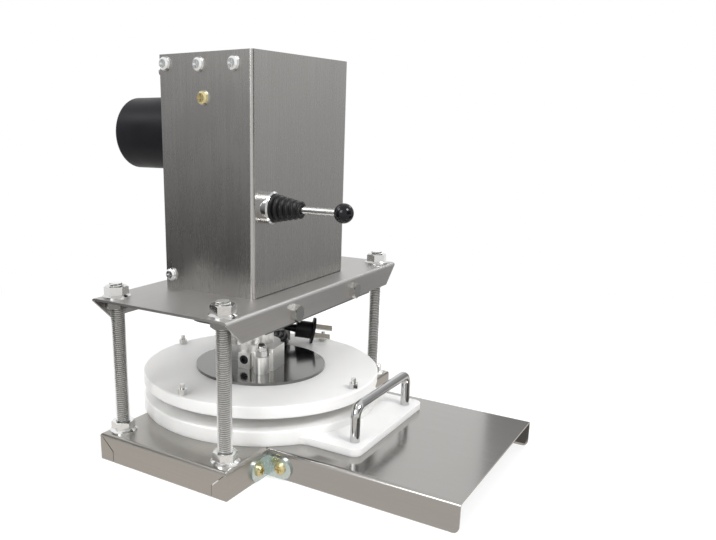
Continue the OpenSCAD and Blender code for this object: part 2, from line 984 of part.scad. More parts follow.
module upper_guide() {
    color("peru")
        difference() {
            translate([-guide_x / 2, -wall_gap / 2, guide_z])
                cube([guide_x, wall_gap, guide_h]);
            translate([0, 0, guide_z - past])
                cylinder(d = ram_d + 2 * fit, h = guide_h + 2 * past);
        }
}

module shaft_bearings() {
    color("peru")
        for (near = [-wall_out, wall_gap / 2])
            translate([pinion_x, 0, motor_z])
                difference() {
                    rod_y(bearing_r, near, near + wall_t);
                    rod_y(shaft_d / 2 + fit, near - past, near + wall_t + past);
                }
}

module gearbox_case() {
    color("gray")
        difference() {
            translate([gear_left, wall_out, gear_low])
                cube([gear_right - gear_left, gear_back - wall_out, gear_high - gear_low]);
            translate([pinion_x, 0, motor_z])
                rod_y(shaft_d / 2 + fit, wall_out - past, shaft_back + past);
            for (place = gear_screw_places)
                translate([place[0], 0, place[1]])
                    rod_y(cap_r + fit, wall_out - past, wall_out + gear_screw_depth);
        }
}

module gearbox_screws() {
    color("dimgray")
        for (place = gear_screw_places)
            translate([place[0], wall_gap / 2, place[1]])
                facing_front()
                    cap_screw(wall_t + gear_screw_depth - past);
}

module motor_can() {
    front = box_back + panel_gap;
    color("#1c1c1e")
        translate([0, 0, motor_z])
            rotate([-90, 0, 0])
                rotate_extrude() {
                    translate([0, gear_back])
                        square([motor_neck_r, front - gear_back]);
                    translate([0, front])
                        square([motor_d / 2, motor_end - motor_edge_r - front]);
                    translate([0, front])
                        square([motor_d / 2 - motor_edge_r, motor_end - front]);
                    intersection() {
                        translate([motor_d / 2 - motor_edge_r, motor_end - motor_edge_r])
                            circle(motor_edge_r);
                        translate([0, front])
                            square([motor_d, motor_end]);
                    }
                }
}

// Plan of the wrapped shell: open at the back, folded at the front corners
module shell_plan(inset) {
    mirror([0, 1])
        translate([0, -box_back - inset])
            arch_outline(box_x - 2 * inset, box_front + box_back, fold_r - inset);
}

module at_side_screws() {
    for (place = side_screws)
        translate([0, place[0], place[1]])
            children();
}

module cover_shell() {
    inner = box_x / 2 - box_sheet;
    color("silver")
        difference() {
            union() {
                translate([0, 0, plate_z])
                    linear_extrude(box_h)
                        difference() {
                            shell_plan(0);
                            shell_plan(box_sheet);
                        }
                mirrored_x()
                    translate([inner - lip + past, panel_y + fold_r + past, plate_z])
                        cube([lip, box_front - fold_r - past, box_sheet]);
            }
            translate([-inner + fold_r, panel_y - past, plate_z - past])
                cube([2 * inner - 2 * fold_r, box_sheet + 2 * past, front_gap + past]);
            translate([stick_x, 0, stick_z])
                rod_y(barrel_d / 2 + hole_gap / 2, panel_y - past, panel_y + box_sheet + past);
            at_side_screws()
                rod_x(small_r + hole_gap / 2, -box_x, box_x);
            translate([0, clip_at[0], clip_at[1]])
                rod_x(small_r + hole_gap / 2, -box_x, 0);
        }
}

module back_panel() {
    out = box_x / 2 - box_sheet - panel_gap;
    lid_room = 2;
    lip_top = box_top - lid_lip - lid_room;
    color("silver")
        difference() {
            union() {
                translate([-out, box_back - box_sheet, plate_z])
                    cube([2 * out, box_sheet, box_h - panel_gap]);
                mirrored_x()
                    translate([out - box_sheet, box_back - lip, plate_z + box_sheet + panel_gap])
                        cube([box_sheet, lip, lip_top - plate_z - box_sheet - panel_gap]);
            }
            translate([0, 0, motor_z])
                rod_y(motor_neck_r + hole_gap, box_back - box_sheet - past, box_back + past);
            at_side_screws()
                rod_x(small_r + hole_gap / 2, -box_x, box_x);
            for (place = back_screws_at)
                translate([place[0], 0, place[1]])
                    rod_y(small_r + hole_gap / 2, box_back - box_sheet - past, box_back + past);
        }
}

module top_lid() {
    w = box_x - 2 * box_sheet - 2 * panel_gap;
    near = panel_y + box_sheet + panel_gap;
    far = box_back - box_sheet - panel_gap;
    color("silver")
        difference() {
            translate([0, (near + far) / 2, box_top - panel_gap - lid_lip])
                difference() {
                    pan(w, far - near, lid_lip, fold_r - box_sheet);
                    translate([0, 0, -past])
                        pan(w - 2 * box_sheet, far - near - 2 * box_sheet, lid_lip - box_sheet + past,
                            fold_r - 2 * box_sheet);
                }
            at_side_screws()
                rod_x(small_r + hole_gap / 2, -box_x, box_x);
            for (place = back_screws_at)
                translate([place[0], 0, place[1]])
                    rod_y(small_r + hole_gap / 2, far - box_sheet - past, far + past);
        }
}

// Places on the box's side panels, and on its back panel, with Z pointing out of the sheet
module on_side_screws() {
    mirrored_x()
        at_side_screws()
            translate([-box_x / 2, 0, 0])
                facing_left()
                    children();
}

module on_back_screws() {
    for (place = back_screws_at)
        translate([place[0], box_back, place[1]])
            facing_back()
                children();
}

module on_clip_screw() {
    translate([-box_x / 2, clip_at[0], clip_at[1]])
        facing_left()
            children();
}

module cover_screws() {
    color("lightgray")
        on_side_screws()
            cross_screw(panel_screw_len, washer_t);
}

module back_screws() {
    color("lightgray")
        on_back_screws()
            cross_screw(panel_screw_len, washer_t);
}

module screw_washers() {
    color("gainsboro") {
        on_side_screws()
            washer();
        on_back_screws()
            washer();
        on_clip_screw()
            washer();
    }
}

module clip_screw() {
    color("goldenrod")
        on_clip_screw()
            cross_screw(box_sheet + clip_t, washer_t);
}

module run_capacitor() {
    color("lightgray")
        translate([cap_x, clip_at[0], cap_low])
            cylinder(r = cap_body_r, h = cap_body_h);
}

// A strap around the capacitor with a flat foot on the side panel
module capacitor_clip() {
    wall = -box_x / 2 + box_sheet;
    color("silver")
        difference() {
            union() {
                translate([cap_x, clip_at[0], clip_at[1] - clip_h / 2])
                    cylinder(r = cap_body_r + fit + clip_t, h = clip_h);
                translate([wall, clip_at[0] - clip_tab, clip_at[1] - clip_h / 2])
                    cube([clip_t, 2 * clip_tab, clip_h]);
            }
            translate([cap_x, clip_at[0], clip_at[1] - clip_h])
                cylinder(r = cap_body_r + fit, h = 2 * clip_h);
            translate([0, clip_at[0], clip_at[1]])
                rod_x(small_r + fit, -box_x, wall + clip_t);
        }
}

module terminal_block() {
    step = block_size[1] / (block_holes + 1);
    color("ivory")
        translate([block_place[0], block_place[1], plate_z])
            difference() {
                cube(block_size);
                for (i = [1 : block_holes])
                    translate([block_size[0] / 2, i * step, block_size[2] / 2])
                        cylinder(r = block_hole_r, h = block_size[2]);
            }
}

// Joystick

module at_stick() {
    translate([stick_x, 0, stick_z])
        children();
}

module joystick_bezel() {
    edge = 1.2;
    color("lightgray")
        at_stick()
            difference() {
                union() {
                    rod_y(bezel_d / 2, bezel_y + edge, panel_y);
                    translate([0, bezel_y + edge, 0])
                        facing_front()
                            cylinder(d1 = bezel_d, d2 = bezel_d - 2 * edge, h = edge);
                    rod_y(barrel_d / 2, panel_y - past, panel_y + barrel_len);
                }
                rod_y(bezel_bore_r, bezel_y - past, panel_y + barrel_len + past);
            }
}

module joystick_nut() {
    color("darkgray")
        at_stick()
            translate([0, panel_y + box_sheet, 0])
                facing_back()
                    hex_nut(locknut_af, locknut_h, barrel_d / 2 + fit);
}

module switch_body() {
    color("#2a2a2c")
        at_stick()
            translate([-switch_size / 2, panel_y + barrel_len, -switch_size / 2])
                cube([switch_size, switch_len, switch_size]);
}

// Radius of the boot at rib step i, deep and shallow in turn
function boot_r(i) =
    let (f = i / (2 * boot_ribs))
    boot_base_r + (boot_tip_r - boot_base_r) * f - (i % 2) * boot_dip * (1 - f * boot_dip_fade);
boot_outer = [for (i = [0 : 2 * boot_ribs])
    [i == 2 * boot_ribs ? boot_tip_r : boot_r(i), boot_seat + boot_len * i / (2 * boot_ribs)]];
boot_inner = [for (i = [2 * boot_ribs : -1 : 0])
    [i == 2 * boot_ribs ? boot_bore : max(boot_bore, boot_outer[i][0] - boot_wall), boot_outer[i][1]]];

module joystick_boot() {
    color("#1a1a1a")
        at_stick()
            translate([0, bezel_y, 0])
                facing_front()
                    rotate_extrude()
                        polygon(concat(boot_outer, boot_inner));
}

module joystick_stick() {
    color("lightgray")
        at_stick() {
            rod_y(stick_d / 2, knob_y + knob_d / 4, pivot_y + stick_tail);
            translate([0, pivot_y, 0])
                sphere(pivot_r);
        }
}

module joystick_ball() {
    bore_r = stick_d / 2 + fit;
    color("#101010")
        at_stick()
            translate([0, knob_y, 0])
                facing_back()
                    rotate_extrude()
                        difference() {
                            intersection() {
                                circle(d = knob_d);
                                translate([0, -knob_d])
                                    square([knob_d, 2 * knob_d]);
                            }
                            translate([-past, knob_d / 4])
                                square([bore_r + past, knob_d]);
                        }
}

// Press head

module press_ram() {
    color("lightgray")
        difference() {
            translate([0, 0, flange_top])
                cylinder(d = ram_d, h = ram_top - flange_top);
            translate([rack_flat, -ram_d, rack_low])
                cube([ram_d, 2 * ram_d, ram_top - rack_low + past]);
        }
}

// Side view of the rack: a bar with straight-flanked teeth
module rack_outline() {
    root = rack_pitch_x - dedendum;
    tip_half = rack_pitch / 4 - backlash - rack_addendum * tan(pressure);
    root_half = rack_pitch / 4 - backlash + dedendum * tan(pressure);
    translate([rack_flat, rack_low])
        square([root - rack_flat, rack_high - rack_low]);
    for (k = [rack_first : rack_last])
        translate([root, motor_z + k * rack_pitch])
            polygon([[-past, -root_half], [0, -root_half], [dedendum + rack_addendum, -tip_half],
                [dedendum + rack_addendum, tip_half], [0, root_half], [-past, root_half]]);
}

module ram_rack() {
    color("darkgray")
        along_y(-gear_w / 2, gear_w / 2)
            rack_outline();
}

// Involute gear outline with a tooth gap facing the rack
base_circle = pitch_r * cos(pressure);
tip_circle = pitch_r + gear_module;
root_circle = pitch_r - dedendum;
tip_roll = sqrt(pow(tip_circle / base_circle, 2) - 1);
function involute_angle(roll) = (roll - atan(roll) * PI / 180) * 180 / PI;
half_tooth = 90 / pinion_teeth + involute_angle(tan(pressure)) - backlash / pitch_r * 180 / PI;
function flank(roll) =
    let (r = base_circle * sqrt(1 + roll * roll), a = half_tooth - involute_angle(roll))
    [r, a];
tooth_profile = concat([[root_circle, half_tooth]],
    [for (i = [0 : flank_steps]) flank(tip_roll * i / flank_steps)]);
tooth_sides = len(tooth_profile);
function tooth_points(turn) = concat(
    [for (i = [0 : tooth_sides - 1])
        let (p = tooth_profile[i]) [p[0] * cos(turn - p[1]), p[0] * sin(turn - p[1])]],
    [for (i = [tooth_sides - 1 : -1 : 0])
        let (p = tooth_profile[i]) [p[0] * cos(turn + p[1]), p[0] * sin(turn + p[1])]]);
gear_points = [for (k = [0 : pinion_teeth - 1]) each tooth_points(180 + (k + 0.5) * 360 / pinion_teeth)];

module drive_pinion() {
    color("gray")
        translate([pinion_x, 0, motor_z])
            difference() {
                along_y(-gear_w / 2, gear_w / 2)
                    polygon(gear_points);
                rod_y(shaft_d / 2 + fit, -gear_w, gear_w);
            }
}

module pinion_shaft() {
    color("lightgray")
        translate([pinion_x, 0, motor_z])
            rod_y(shaft_d / 2, shaft_front, shaft_back);
}

module at_bosses() {
    for (turn = boss_angles)
        rotate([0, 0, turn + hub_turn])
            translate([boss_ring, 0, 0])
                children();
}

module clamp_hub() {
    color("gray")
        difference() {
            translate([0, 0, flange_top]) {
                cylinder(r = hub_r, h = hub_h);
                rotate([0, 0, hub_turn]) {
                    translate([block_left, -hub_face, 0])
                        cube([block_right - block_left, hub_face - block_in, hub_h]);
                    translate([-lug_reach, pinch_y - lug_w / 2, 0])
                        cube([lug_reach - hub_r + block_in, lug_w, lug_h]);
                }
                for (turn = boss_angles)
                    rotate([0, 0, turn + hub_turn])
                        translate([hub_r - block_in, -boss_r, 0])
                            cube([boss_ring - hub_r + block_in, 2 * boss_r, boss_h]);
                at_bosses()
                    cylinder(r = boss_r, h = boss_h);
            }
            translate([0, 0, boss_top])
                at_bosses()
                    cylinder(r = boss_r, h = hub_h);
            translate([0, 0, flange_top - past])
                cylinder(d = ram_d + 2 * fit, h = hub_h + 2 * past);
            translate([0, 0, flange_top - past])
                at_bosses()
                    cylinder(d = stud_d + 2 * fit, h = hub_h + past);
            rotate([0, 0, hub_turn])
                translate([0, pinch_y, flange_top + pinch_z]) {
                    rod_x(pinch_head_r + fit, -lug_reach - past, -lug_reach + pinch_head_h);
                    rod_x(pinch_r + fit, -lug_reach - past, 0);
                }
        }
}

module pinch_screw() {
    tip = -sqrt(pow(ram_d / 2 + fit, 2) - pow(pinch_y - pinch_r, 2)) - fit;
    color("#202020")
        rotate([0, 0, hub_turn])
            translate([0, pinch_y, flange_top + pinch_z])
                difference() {
                    union() {
                        rod_x(pinch_head_r, -lug_reach + fit, -lug_reach + pinch_head_h - fit);
                        rod_x(pinch_r, -lug_reach + pinch_head_h - past, tip);
                    }
                    translate([-lug_reach - past, 0, 0])
                        rotate([0, 90, 0])
                            cylinder(r = socket_r, h = socket_depth + past, $fn = 6);
                }
}

// A countersunk bolt standing in the press disc, its head just inside the lower face
module sunk_bolt(r, top) {
    translate([0, 0, upper_z + sink_depth]) {
        cylinder(r1 = 2 * r, r2 = r, h = r);
        cylinder(r = r, h = top - upper_z - sink_depth);
    }
}

module hub_studs() {
    color("lightgray")
        at_bosses()
            sunk_bolt(stud_d / 2, boss_top + stud_in_nut);
}

module dome_nuts() {
    dome_r = dome_af / 2 - dome_inset;
    color("gainsboro")
        at_bosses()
            translate([0, 0, boss_top])
                difference() {
                    union() {
                        hexagon(dome_af, dome_hex_h);
                        translate([0, 0, dome_hex_h - past])
                            cylinder(r = dome_r, h = dome_nut_h - dome_hex_h - dome_r + past);
                        translate([0, 0, dome_nut_h - dome_r])
                            sphere(dome_r);
                    }
                    translate([0, 0, -past])
                        cylinder(d = stud_d + 2 * fit, h = past + stud_in_nut + fit);
                }
}

module flange_disc() {
    color("whitesmoke")
        difference() {
            translate([0, 0, upper_top])
                cylinder(d = flange_d, h = flange_t, $fn = 96);
            translate([0, 0, upper_top - past])
                at_bosses()
                    cylinder(d = stud_d + 2 * fit, h = flange_t + 2 * past);
        }
}

module at_disc_bolts() {
    for (k = [0 : 3])
        rotate([0, 0, disc_bolt_turn + 90 * k])
            translate([disc_bolt_ring, 0, 0])
                children();
}

// A hole for a countersunk bolt, open at the lower face
module sunk_hole(r) {
    translate([0, 0, upper_z - past])
        cylinder(r = 2 * r + fit, h = past + sink_depth);
    translate([0, 0, upper_z + sink_depth])
        cylinder(r1 = 2 * r + fit, r2 = r + fit, h = r);
    translate([0, 0, upper_z])
        cylinder(r = r + fit, h = upper_t + past);
}

module press_disc() {
    color("ivory")
        difference() {
            translate([0, 0, upper_z])
                rotate_extrude($fn = 120)
                    polygon([[0, 0], [disc_d / 2 - disc_chamfer, 0], [disc_d / 2, disc_chamfer],
                        [disc_d / 2, upper_t - disc_chamfer], [disc_d / 2 - disc_chamfer, upper_t],
                        [0, upper_t]]);
            at_bosses()
                sunk_hole(stud_d / 2);
            at_disc_bolts()
                sunk_hole(small_r);
        }
}

module disc_bolts() {
    color("lightgray")
        at_disc_bolts()
            sunk_bolt(small_r, upper_top + disc_bolt_up);
}

module disc_nuts() {
    color("lightgray")
        at_disc_bolts()
            translate([0, 0, upper_top])
                hex_nut(small_nut_af, small_nut_reach, small_r + fit);
}

// Mains cord

module cord_gland() {
    color("#1a1a1a")
        translate([gland_place[0], gland_place[1], 0])
            rotate_extrude()
                polygon([[0, relief_end], [relief_tip_r, relief_end],
                    [relief_root_r, plate_under - gland_flange_t],
                    [gland_flange_r, plate_under - gland_flange_t],
                    [gland_flange_r, plate_under], [gland_r, plate_under], [gland_r, plate_z],
                    [gland_flange_r, plate_z], [gland_flange_r, plate_z + gland_nut_h],
                    [0, plate_z + gland_nut_h]]);
}

module cord_drop() {
    color("#161616")
        tube(drop_path, 8, cord_r);
}

module cord_coil() {
    echo(coil_gap_to_itself = coil_self_gap);
    color("#161616")
        tube(coil_path, coil_sides, cord_r);
}

module plug_lead() {
    color("#161616")
        tube(lead_path, 8, cord_r);
}

// A strap around the coil's turns on one side
module coil_tie() {
    near = coil_r - cord_r - soft_gap;
    far = coil_out_r + soft_gap;
    low = coil_z - cord_r - soft_gap / 2;
    high = coil_z + coil_pitch + cord_r + soft_gap;
    color("lightgray")
        translate([coil_place[0], coil_place[1], 0])
            rotate([0, 0, tie_turn])
                along_y(-tie_w / 2, tie_w / 2)
                    difference() {
                        translate([near - tie_t, low - tie_t])
                            square([far - near + 2 * tie_t, high - low + 2 * tie_t]);
                        translate([near, low])
                            square([far - near, high - low]);
                    }
}

module at_plug() {
    translate(plug_tail)
        rotate([0, plug_pitch, plug_turn])
            rotate([plug_roll, 0, 0])
                children();
}

// A flat-sided oval of the given width and thickness
module oval(w, t) {
    for (side = [-1, 1])
        translate([0, side * (w - t) / 2])
            circle(d = t);
    square([t, w - t], center = true);
}

module plug_section(x0, x1, w, t) {
    translate([x0, 0, 0])
        rotate([90, 0, 90])
            rotate([0, 0, 90])
                linear_extrude(x1 - x0)
                    rotate([0, 0, 90])
                        oval(w, t);
}

module plug_body() {
    color("#181818")
        at_plug()
            difference() {
                union() {
                    rotate([0, 90, 0])
                        cylinder(r1 = cord_r + past / 2, r2 = plug_relief_r, h = plug_relief_len);
                    plug_section(plug_relief_len - past, plug_reach - plug_face_t, plug_grip_w, plug_grip_t);
                    plug_section(plug_reach - plug_face_t, plug_reach, plug_w, plug_t);
                }
                for (side = [-1, 1])
                    translate([plug_reach - blade_root, -blade_w / 2 - fit,
                        side * blade_span / 2 - blade_t / 2 - fit])
                        cube([blade_root + past, blade_w + 2 * fit, blade_t + 2 * fit]);
            }
}

module plug_blades() {
    color("goldenrod")
        at_plug()
            for (side = [-1, 1])
                translate([plug_reach - blade_root + fit, -blade_w / 2, side * blade_span / 2 - blade_t / 2])
                    cube([blade_root + blade_len, blade_w, blade_t]);
}

// Lower plate and handle

// Rounds the inner corner between the disc and the neck's left side
module neck_fillet_outline() {
    centre_x = -neck_x / 2 - neck_fillet + fillet_bite;
    reach = disc_d / 2 + neck_fillet - fillet_bite;
    centre_y = -sqrt(reach * reach - centre_x * centre_x);
    touch = (disc_d / 2 - past) / reach;
    difference() {
        polygon([[-neck_x / 2 + past, centre_y], [centre_x, centre_y], [centre_x * touch, centre_y * touch],
            [-neck_x / 2 + past, centre_y * touch]]);
        translate([centre_x, centre_y])
            circle(neck_fillet);
    }
}

module neck_outline() {
    mirror([0, 1])
        arch_outline(neck_x, neck_front, neck_corner_r);
    neck_fillet_outline();
    mirror([1, 0])
        neck_fillet_outline();
}

module at_handle_legs() {
    for (side = [-1, 1])
        translate([side * handle_span / 2, -handle_y, 0])
            children();
}

module lower_plate() {
    color("ivory")
        difference() {
            union() {
                translate([0, 0, lower_z])
                    linear_extrude(neck_t)
                        neck_outline();
                translate([0, 0, lower_z])
                    rotate_extrude($fn = 120)
                        polygon([[0, 0], [disc_d / 2, 0], [disc_d / 2, lower_t - disc_chamfer],
                            [disc_d / 2 - disc_chamfer, lower_t], [0, lower_t]]);
            }
            at_handle_legs() {
                translate([0, 0, lower_z - past])
                    cylinder(r = small_r + fit, h = neck_t + 2 * past);
                translate([0, 0, lower_z - past])
                    cylinder(r = small_head_r + fit, h = past + small_head_h + sink_depth);
            }
        }
}

module pull_handle() {
    bar_z = neck_top + handle_h - handle_d / 2;
    color("whitesmoke")
        difference() {
            union() {
                at_handle_legs()
                    translate([0, 0, neck_top])
                        cylinder(d = handle_d, h = bar_z - handle_bend_r - neck_top);
                translate([0, -handle_y, bar_z])
                    rod_x(handle_d / 2, -handle_span / 2 + handle_bend_r, handle_span / 2 - handle_bend_r);
                mirrored_x()
                    translate([handle_span / 2 - handle_bend_r, -handle_y, bar_z - handle_bend_r])
                        rotate([90, 0, 0])
                            rotate_extrude(angle = 90)
                                translate([handle_bend_r, 0])
                                    circle(d = handle_d);
            }
            at_handle_legs()
                translate([0, 0, neck_top - past])
                    cylinder(r = small_r + fit, h = small_nut_reach + 2 * past);
        }
}

module handle_screws() {
    color("darkgray")
        at_handle_legs() {
            translate([0, 0, lower_z + sink_depth])
                cylinder(r = small_head_r, h = small_head_h);
            translate([0, 0, lower_z + sink_depth])
                cylinder(r = small_r, h = neck_t + small_nut_reach - sink_depth);
        }
}

on_axis() base_frame();
on_axis() slide_tray();
on_axis() corner_brackets();
on_axis() bracket_screws();
on_axis() bracket_nuts();
on_axis() tie_rods();
on_axis() base_under_nuts();
on_axis() base_top_nuts();
on_axis() plate_under_nuts();
on_axis() plate_top_nuts();
on_axis() top_plate();
on_axis() flange_bolts();
on_axis() guide_beam();
on_axis() beam_bush();
on_axis() drive_frame();
on_axis() frame_screws();
on_axis() upper_guide();
on_axis() shaft_bearings();
on_axis() gearbox_case();
on_axis() gearbox_screws();
on_axis() motor_can();
on_axis() cover_shell();
on_axis() back_panel();
on_axis() top_lid();
on_axis() cover_screws();
on_axis() back_screws();
on_axis() screw_washers();
on_axis() clip_screw();
on_axis() run_capacitor();
on_axis() capacitor_clip();
on_axis() terminal_block();
on_axis() joystick_bezel();
on_axis() joystick_nut();
on_axis() switch_body();
on_axis() joystick_boot();
on_axis() cord_gland();
on_axis() press_ram();
on_axis() ram_rack();
on_axis() clamp_hub();
on_axis() pinch_screw();
on_axis() hub_studs();
on_axis() dome_nuts();
on_axis() flange_disc();
on_axis() press_disc();
on_axis() disc_bolts();
on_axis() disc_nuts();
on_axis() cord_drop();
on_axis() cord_coil();
on_axis() coil_tie();
on_axis() plug_lead();
on_axis() plug_body();
on_axis() plug_blades();
on_axis() drive_pinion();
on_axis() pinion_shaft();
on_axis() lower_plate();
on_axis() pull_handle();
on_axis() handle_screws();
on_axis() joystick_stick();
on_axis() joystick_ball();
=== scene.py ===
# %% [markdown]
# # Dressing an electric dough press
# The press is a folded steel base with four threaded rods, a top plate, a sheet-metal drive box and two white
# press plates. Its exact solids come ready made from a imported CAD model. This lesson gives every one of them
# a finish, and models anew the few pieces that want more than a plain solid: the cord, the boot, the rods.

# %% Load the solids
import math
import bmesh
import bpy
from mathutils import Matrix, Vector


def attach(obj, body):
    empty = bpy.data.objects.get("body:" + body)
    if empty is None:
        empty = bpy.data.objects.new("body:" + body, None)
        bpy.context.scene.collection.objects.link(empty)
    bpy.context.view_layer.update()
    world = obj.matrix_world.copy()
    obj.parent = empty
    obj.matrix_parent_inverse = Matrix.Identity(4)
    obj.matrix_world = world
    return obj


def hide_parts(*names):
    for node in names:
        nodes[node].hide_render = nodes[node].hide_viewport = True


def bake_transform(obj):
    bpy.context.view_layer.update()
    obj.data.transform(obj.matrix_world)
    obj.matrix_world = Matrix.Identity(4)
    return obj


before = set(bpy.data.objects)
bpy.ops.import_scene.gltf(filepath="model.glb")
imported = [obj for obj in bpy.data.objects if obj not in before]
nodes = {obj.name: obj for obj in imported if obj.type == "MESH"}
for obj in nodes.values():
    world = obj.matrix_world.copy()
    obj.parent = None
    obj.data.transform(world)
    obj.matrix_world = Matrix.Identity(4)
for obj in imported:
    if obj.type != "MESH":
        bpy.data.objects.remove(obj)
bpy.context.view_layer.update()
scene = bpy.context.scene

# %% [markdown]
# ## The camera
# A camera could be moved about by eye until its picture looks right. Here its focal length and its place were
# worked out beforehand from the straight edges of the box, plate and tray, which is more exact. The optical
# axis doesn't pass through the middle of the picture, so the lens is shifted, not turned.

# %% Set the camera
PICTURE_W, PICTURE_H = 716, 540
FOCAL_PIXELS = 730.83
AXIS_PIXEL = (261.94, 320.46)
SENSOR = 36
CAMERA_PLACE = (-0.5448, -0.3321, 0.2802)
CAMERA_AIM = Vector((0.797, 0.545, -0.261))


def look_along(direction):
    """The turn of a camera or lamp that looks along a direction: both look down their own Z axis."""
    return direction.to_track_quat("-Z", "Y").to_euler()


lens = bpy.data.cameras.new("picture_camera")
lens.sensor_width = SENSOR
lens.lens = SENSOR * FOCAL_PIXELS / PICTURE_W
lens.shift_x = (PICTURE_W / 2 - AXIS_PIXEL[0]) / PICTURE_W
lens.shift_y = (AXIS_PIXEL[1] - PICTURE_H / 2) / PICTURE_W
camera = bpy.data.objects.new("picture_camera", lens)
scene.collection.objects.link(camera)
camera.location = CAMERA_PLACE
camera.rotation_euler = look_along(CAMERA_AIM)
scene.camera = camera
print("camera lens", round(lens.lens, 2), "mm, shift", round(lens.shift_x, 3), round(lens.shift_y, 3))

# %% [markdown]
# ## The mains cord
# A thin black mains cord leaves a strain relief under the top plate, falls to the steel disc behind the hub,
# lies there in a tied coil of two layers, and ends in its plug. A cord is a line with a thickness: a curve
# with a round bevel is the natural start. The press head carries the coil up and down while the relief stays
# still. The curve is turned into a mesh.

# %% Lay out the cord's points
# Lengths are in millimetres here, as in the CAD model, and X and Y are counted from the press axis.
AXIS_Y = 42
CORD_D = 4.8
COIL_CENTRE = (47, 40)
COIL_R = 19.5
COIL_PITCH = 5.3
COIL_TURNS = 3
COIL_Z = 64.0
COIL_START = math.radians(120)
COIL_END_TURN = 5.69
COIL_RINGS = 24
CLIMB_TURNS = 0.5


def coil_point(turn):
    """The coil winds in on its lower layer, climbs, and winds out on its upper layer."""
    radius = COIL_R + COIL_PITCH * abs(turn - COIL_TURNS)
    angle = COIL_START - math.tau * turn
    climb = min(1, max(0, (turn - COIL_TURNS) / CLIMB_TURNS + 0.5))
    return (COIL_CENTRE[0] + radius * math.cos(angle), COIL_CENTRE[1] + radius * math.sin(angle),
            COIL_Z + COIL_PITCH * climb)


cord_fall = [(10, 35, 118), (10, 35, 113), (10.2, 35.6, 107.5), (10.8, 37.5, 100.5), (11.8, 40.2, 93),
             (12.9, 43.7, 86), (14, 47.6, 79.5), (15, 52, 74), (16.3, 56.8, 69.8), (18.2, 61.3, 66.6),
             (21, 65.2, 64.8)]
coil_steps = round(COIL_END_TURN * COIL_RINGS)
cord_coil = [coil_point(i * COIL_END_TURN / coil_steps) for i in range(coil_steps + 1)]
cord_lead = [(18, 22.4, 70.2), (15.3, 27.8, 71.6), (13.9, 36.5, 73.4), (17, 45.5, 74.8), (24, 51.8, 75.8),
             (33, 54, 76.6), (42.4, 51.5, 77.4), (51, 43.8, 78.2), (57, 33.8, 78.6), (65.61, 20.92, 77.77),
             (68.3, 17, 77.1)]
print("cord points:", len(cord_fall), "in the fall,", len(cord_coil), "in the coil,", len(cord_lead), "after it")

# %% Draw a smooth route through them
ROUTE_STEPS = 3


def shared(point):
    """A point in millimetres from the press axis, as a point of the shared frame in metres."""
    return Vector((point[0], point[1] + AXIS_Y, point[2])) / 1000


def smooth_route(points, steps):
    """A Catmull-Rom line through the given points, with a number of steps to each stretch."""
    route = []
    for i in range(len(points) - 1):
        a, b = points[max(i - 1, 0)], points[i]
        c, d = points[i + 1], points[min(i + 2, len(points) - 1)]
        for k in range(steps):
            s = k / steps
            route.append(0.5 * (2 * b + (c - a) * s + (2 * a - 5 * b + 4 * c - d) * s * s
                                + (3 * b - a - 3 * c + d) * s * s * s))
    return route + [points[-1]]


cord_route = smooth_route([shared(p) for p in cord_fall + cord_coil + cord_lead], ROUTE_STEPS)

# %% Turn the route into a tube
CORD_BEVEL_STEPS = 3

cord_curve = bpy.data.curves.new("cord_line", "CURVE")
cord_curve.dimensions = "3D"
cord_curve.bevel_depth = CORD_D / 2000
cord_curve.bevel_resolution = CORD_BEVEL_STEPS
cord_curve.use_fill_caps = True
cord_spline = cord_curve.splines.new("POLY")
cord_spline.points.add(len(cord_route) - 1)
for spot, place in zip(cord_spline.points, cord_route):
    spot.co = (*place, 1)
cord_shape = bpy.data.objects.new("cord_line", cord_curve)
scene.collection.objects.link(cord_shape)
cord_mesh = bpy.data.meshes.new_from_object(
    cord_shape.evaluated_get(bpy.context.evaluated_depsgraph_get()))
bpy.data.objects.remove(cord_shape)
for face in cord_mesh.polygons:
    face.use_smooth = True
mains_cord = bpy.data.objects.new("mains_cord", cord_mesh)
scene.collection.objects.link(mains_cord)
print("cord tube with", len(cord_mesh.polygons), "faces")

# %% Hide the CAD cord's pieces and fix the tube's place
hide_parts("cord_drop", "cord_coil", "plug_lead")
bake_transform(mains_cord)
print("cord", CORD_D, "mm thick, with its tie and its plug")

# %% [markdown]
# ## The joystick's boot
# A rubber bellows covers the joystick's pivot: five round ribs that get smaller towards the tip. It is round
# about the stick, so one outline spun about that line makes it. The outline runs out along the ribs and back
# along the bore, which closes the wall.

# %% Draw the boot's outline
STICK_X, STICK_Z = -56.3, 214.7
BOOT_FOOT, BOOT_TIP = -53.3, -77.3
BOOT_FOOT_R, BOOT_TIP_R, BOOT_BORE = 11.6, 6.8, 3.3
BOOT_FOOT_WALL = 4.2
BOOT_RIBS = 5
RIB_STEPS = 10
RIB_ROUNDNESS = 0.8
RIB_DEPTH = 3.7
RIB_LOSS_TO_TIP = 0.5


def boot_radius(f):
    """The boot's outer radius a fraction f of the way to its tip: round ribs between narrow valleys."""
    rib = abs(math.cos(math.pi * BOOT_RIBS * f)) ** RIB_ROUNDNESS
    depth = RIB_DEPTH * (1 - RIB_LOSS_TO_TIP * f)
    return BOOT_FOOT_R + (BOOT_TIP_R - BOOT_FOOT_R) * f - depth * (1 - rib)


boot_steps = BOOT_RIBS * RIB_STEPS
boot_line = [(boot_radius(i / boot_steps), BOOT_FOOT + (BOOT_TIP - BOOT_FOOT) * i / boot_steps)
             for i in range(boot_steps + 1)]
boot_line += [(BOOT_BORE, BOOT_TIP), (BOOT_BORE, (BOOT_FOOT + BOOT_TIP) / 2),
              (BOOT_FOOT_R - BOOT_FOOT_WALL, BOOT_FOOT)]
print("boot outline of", len(boot_line), "points")

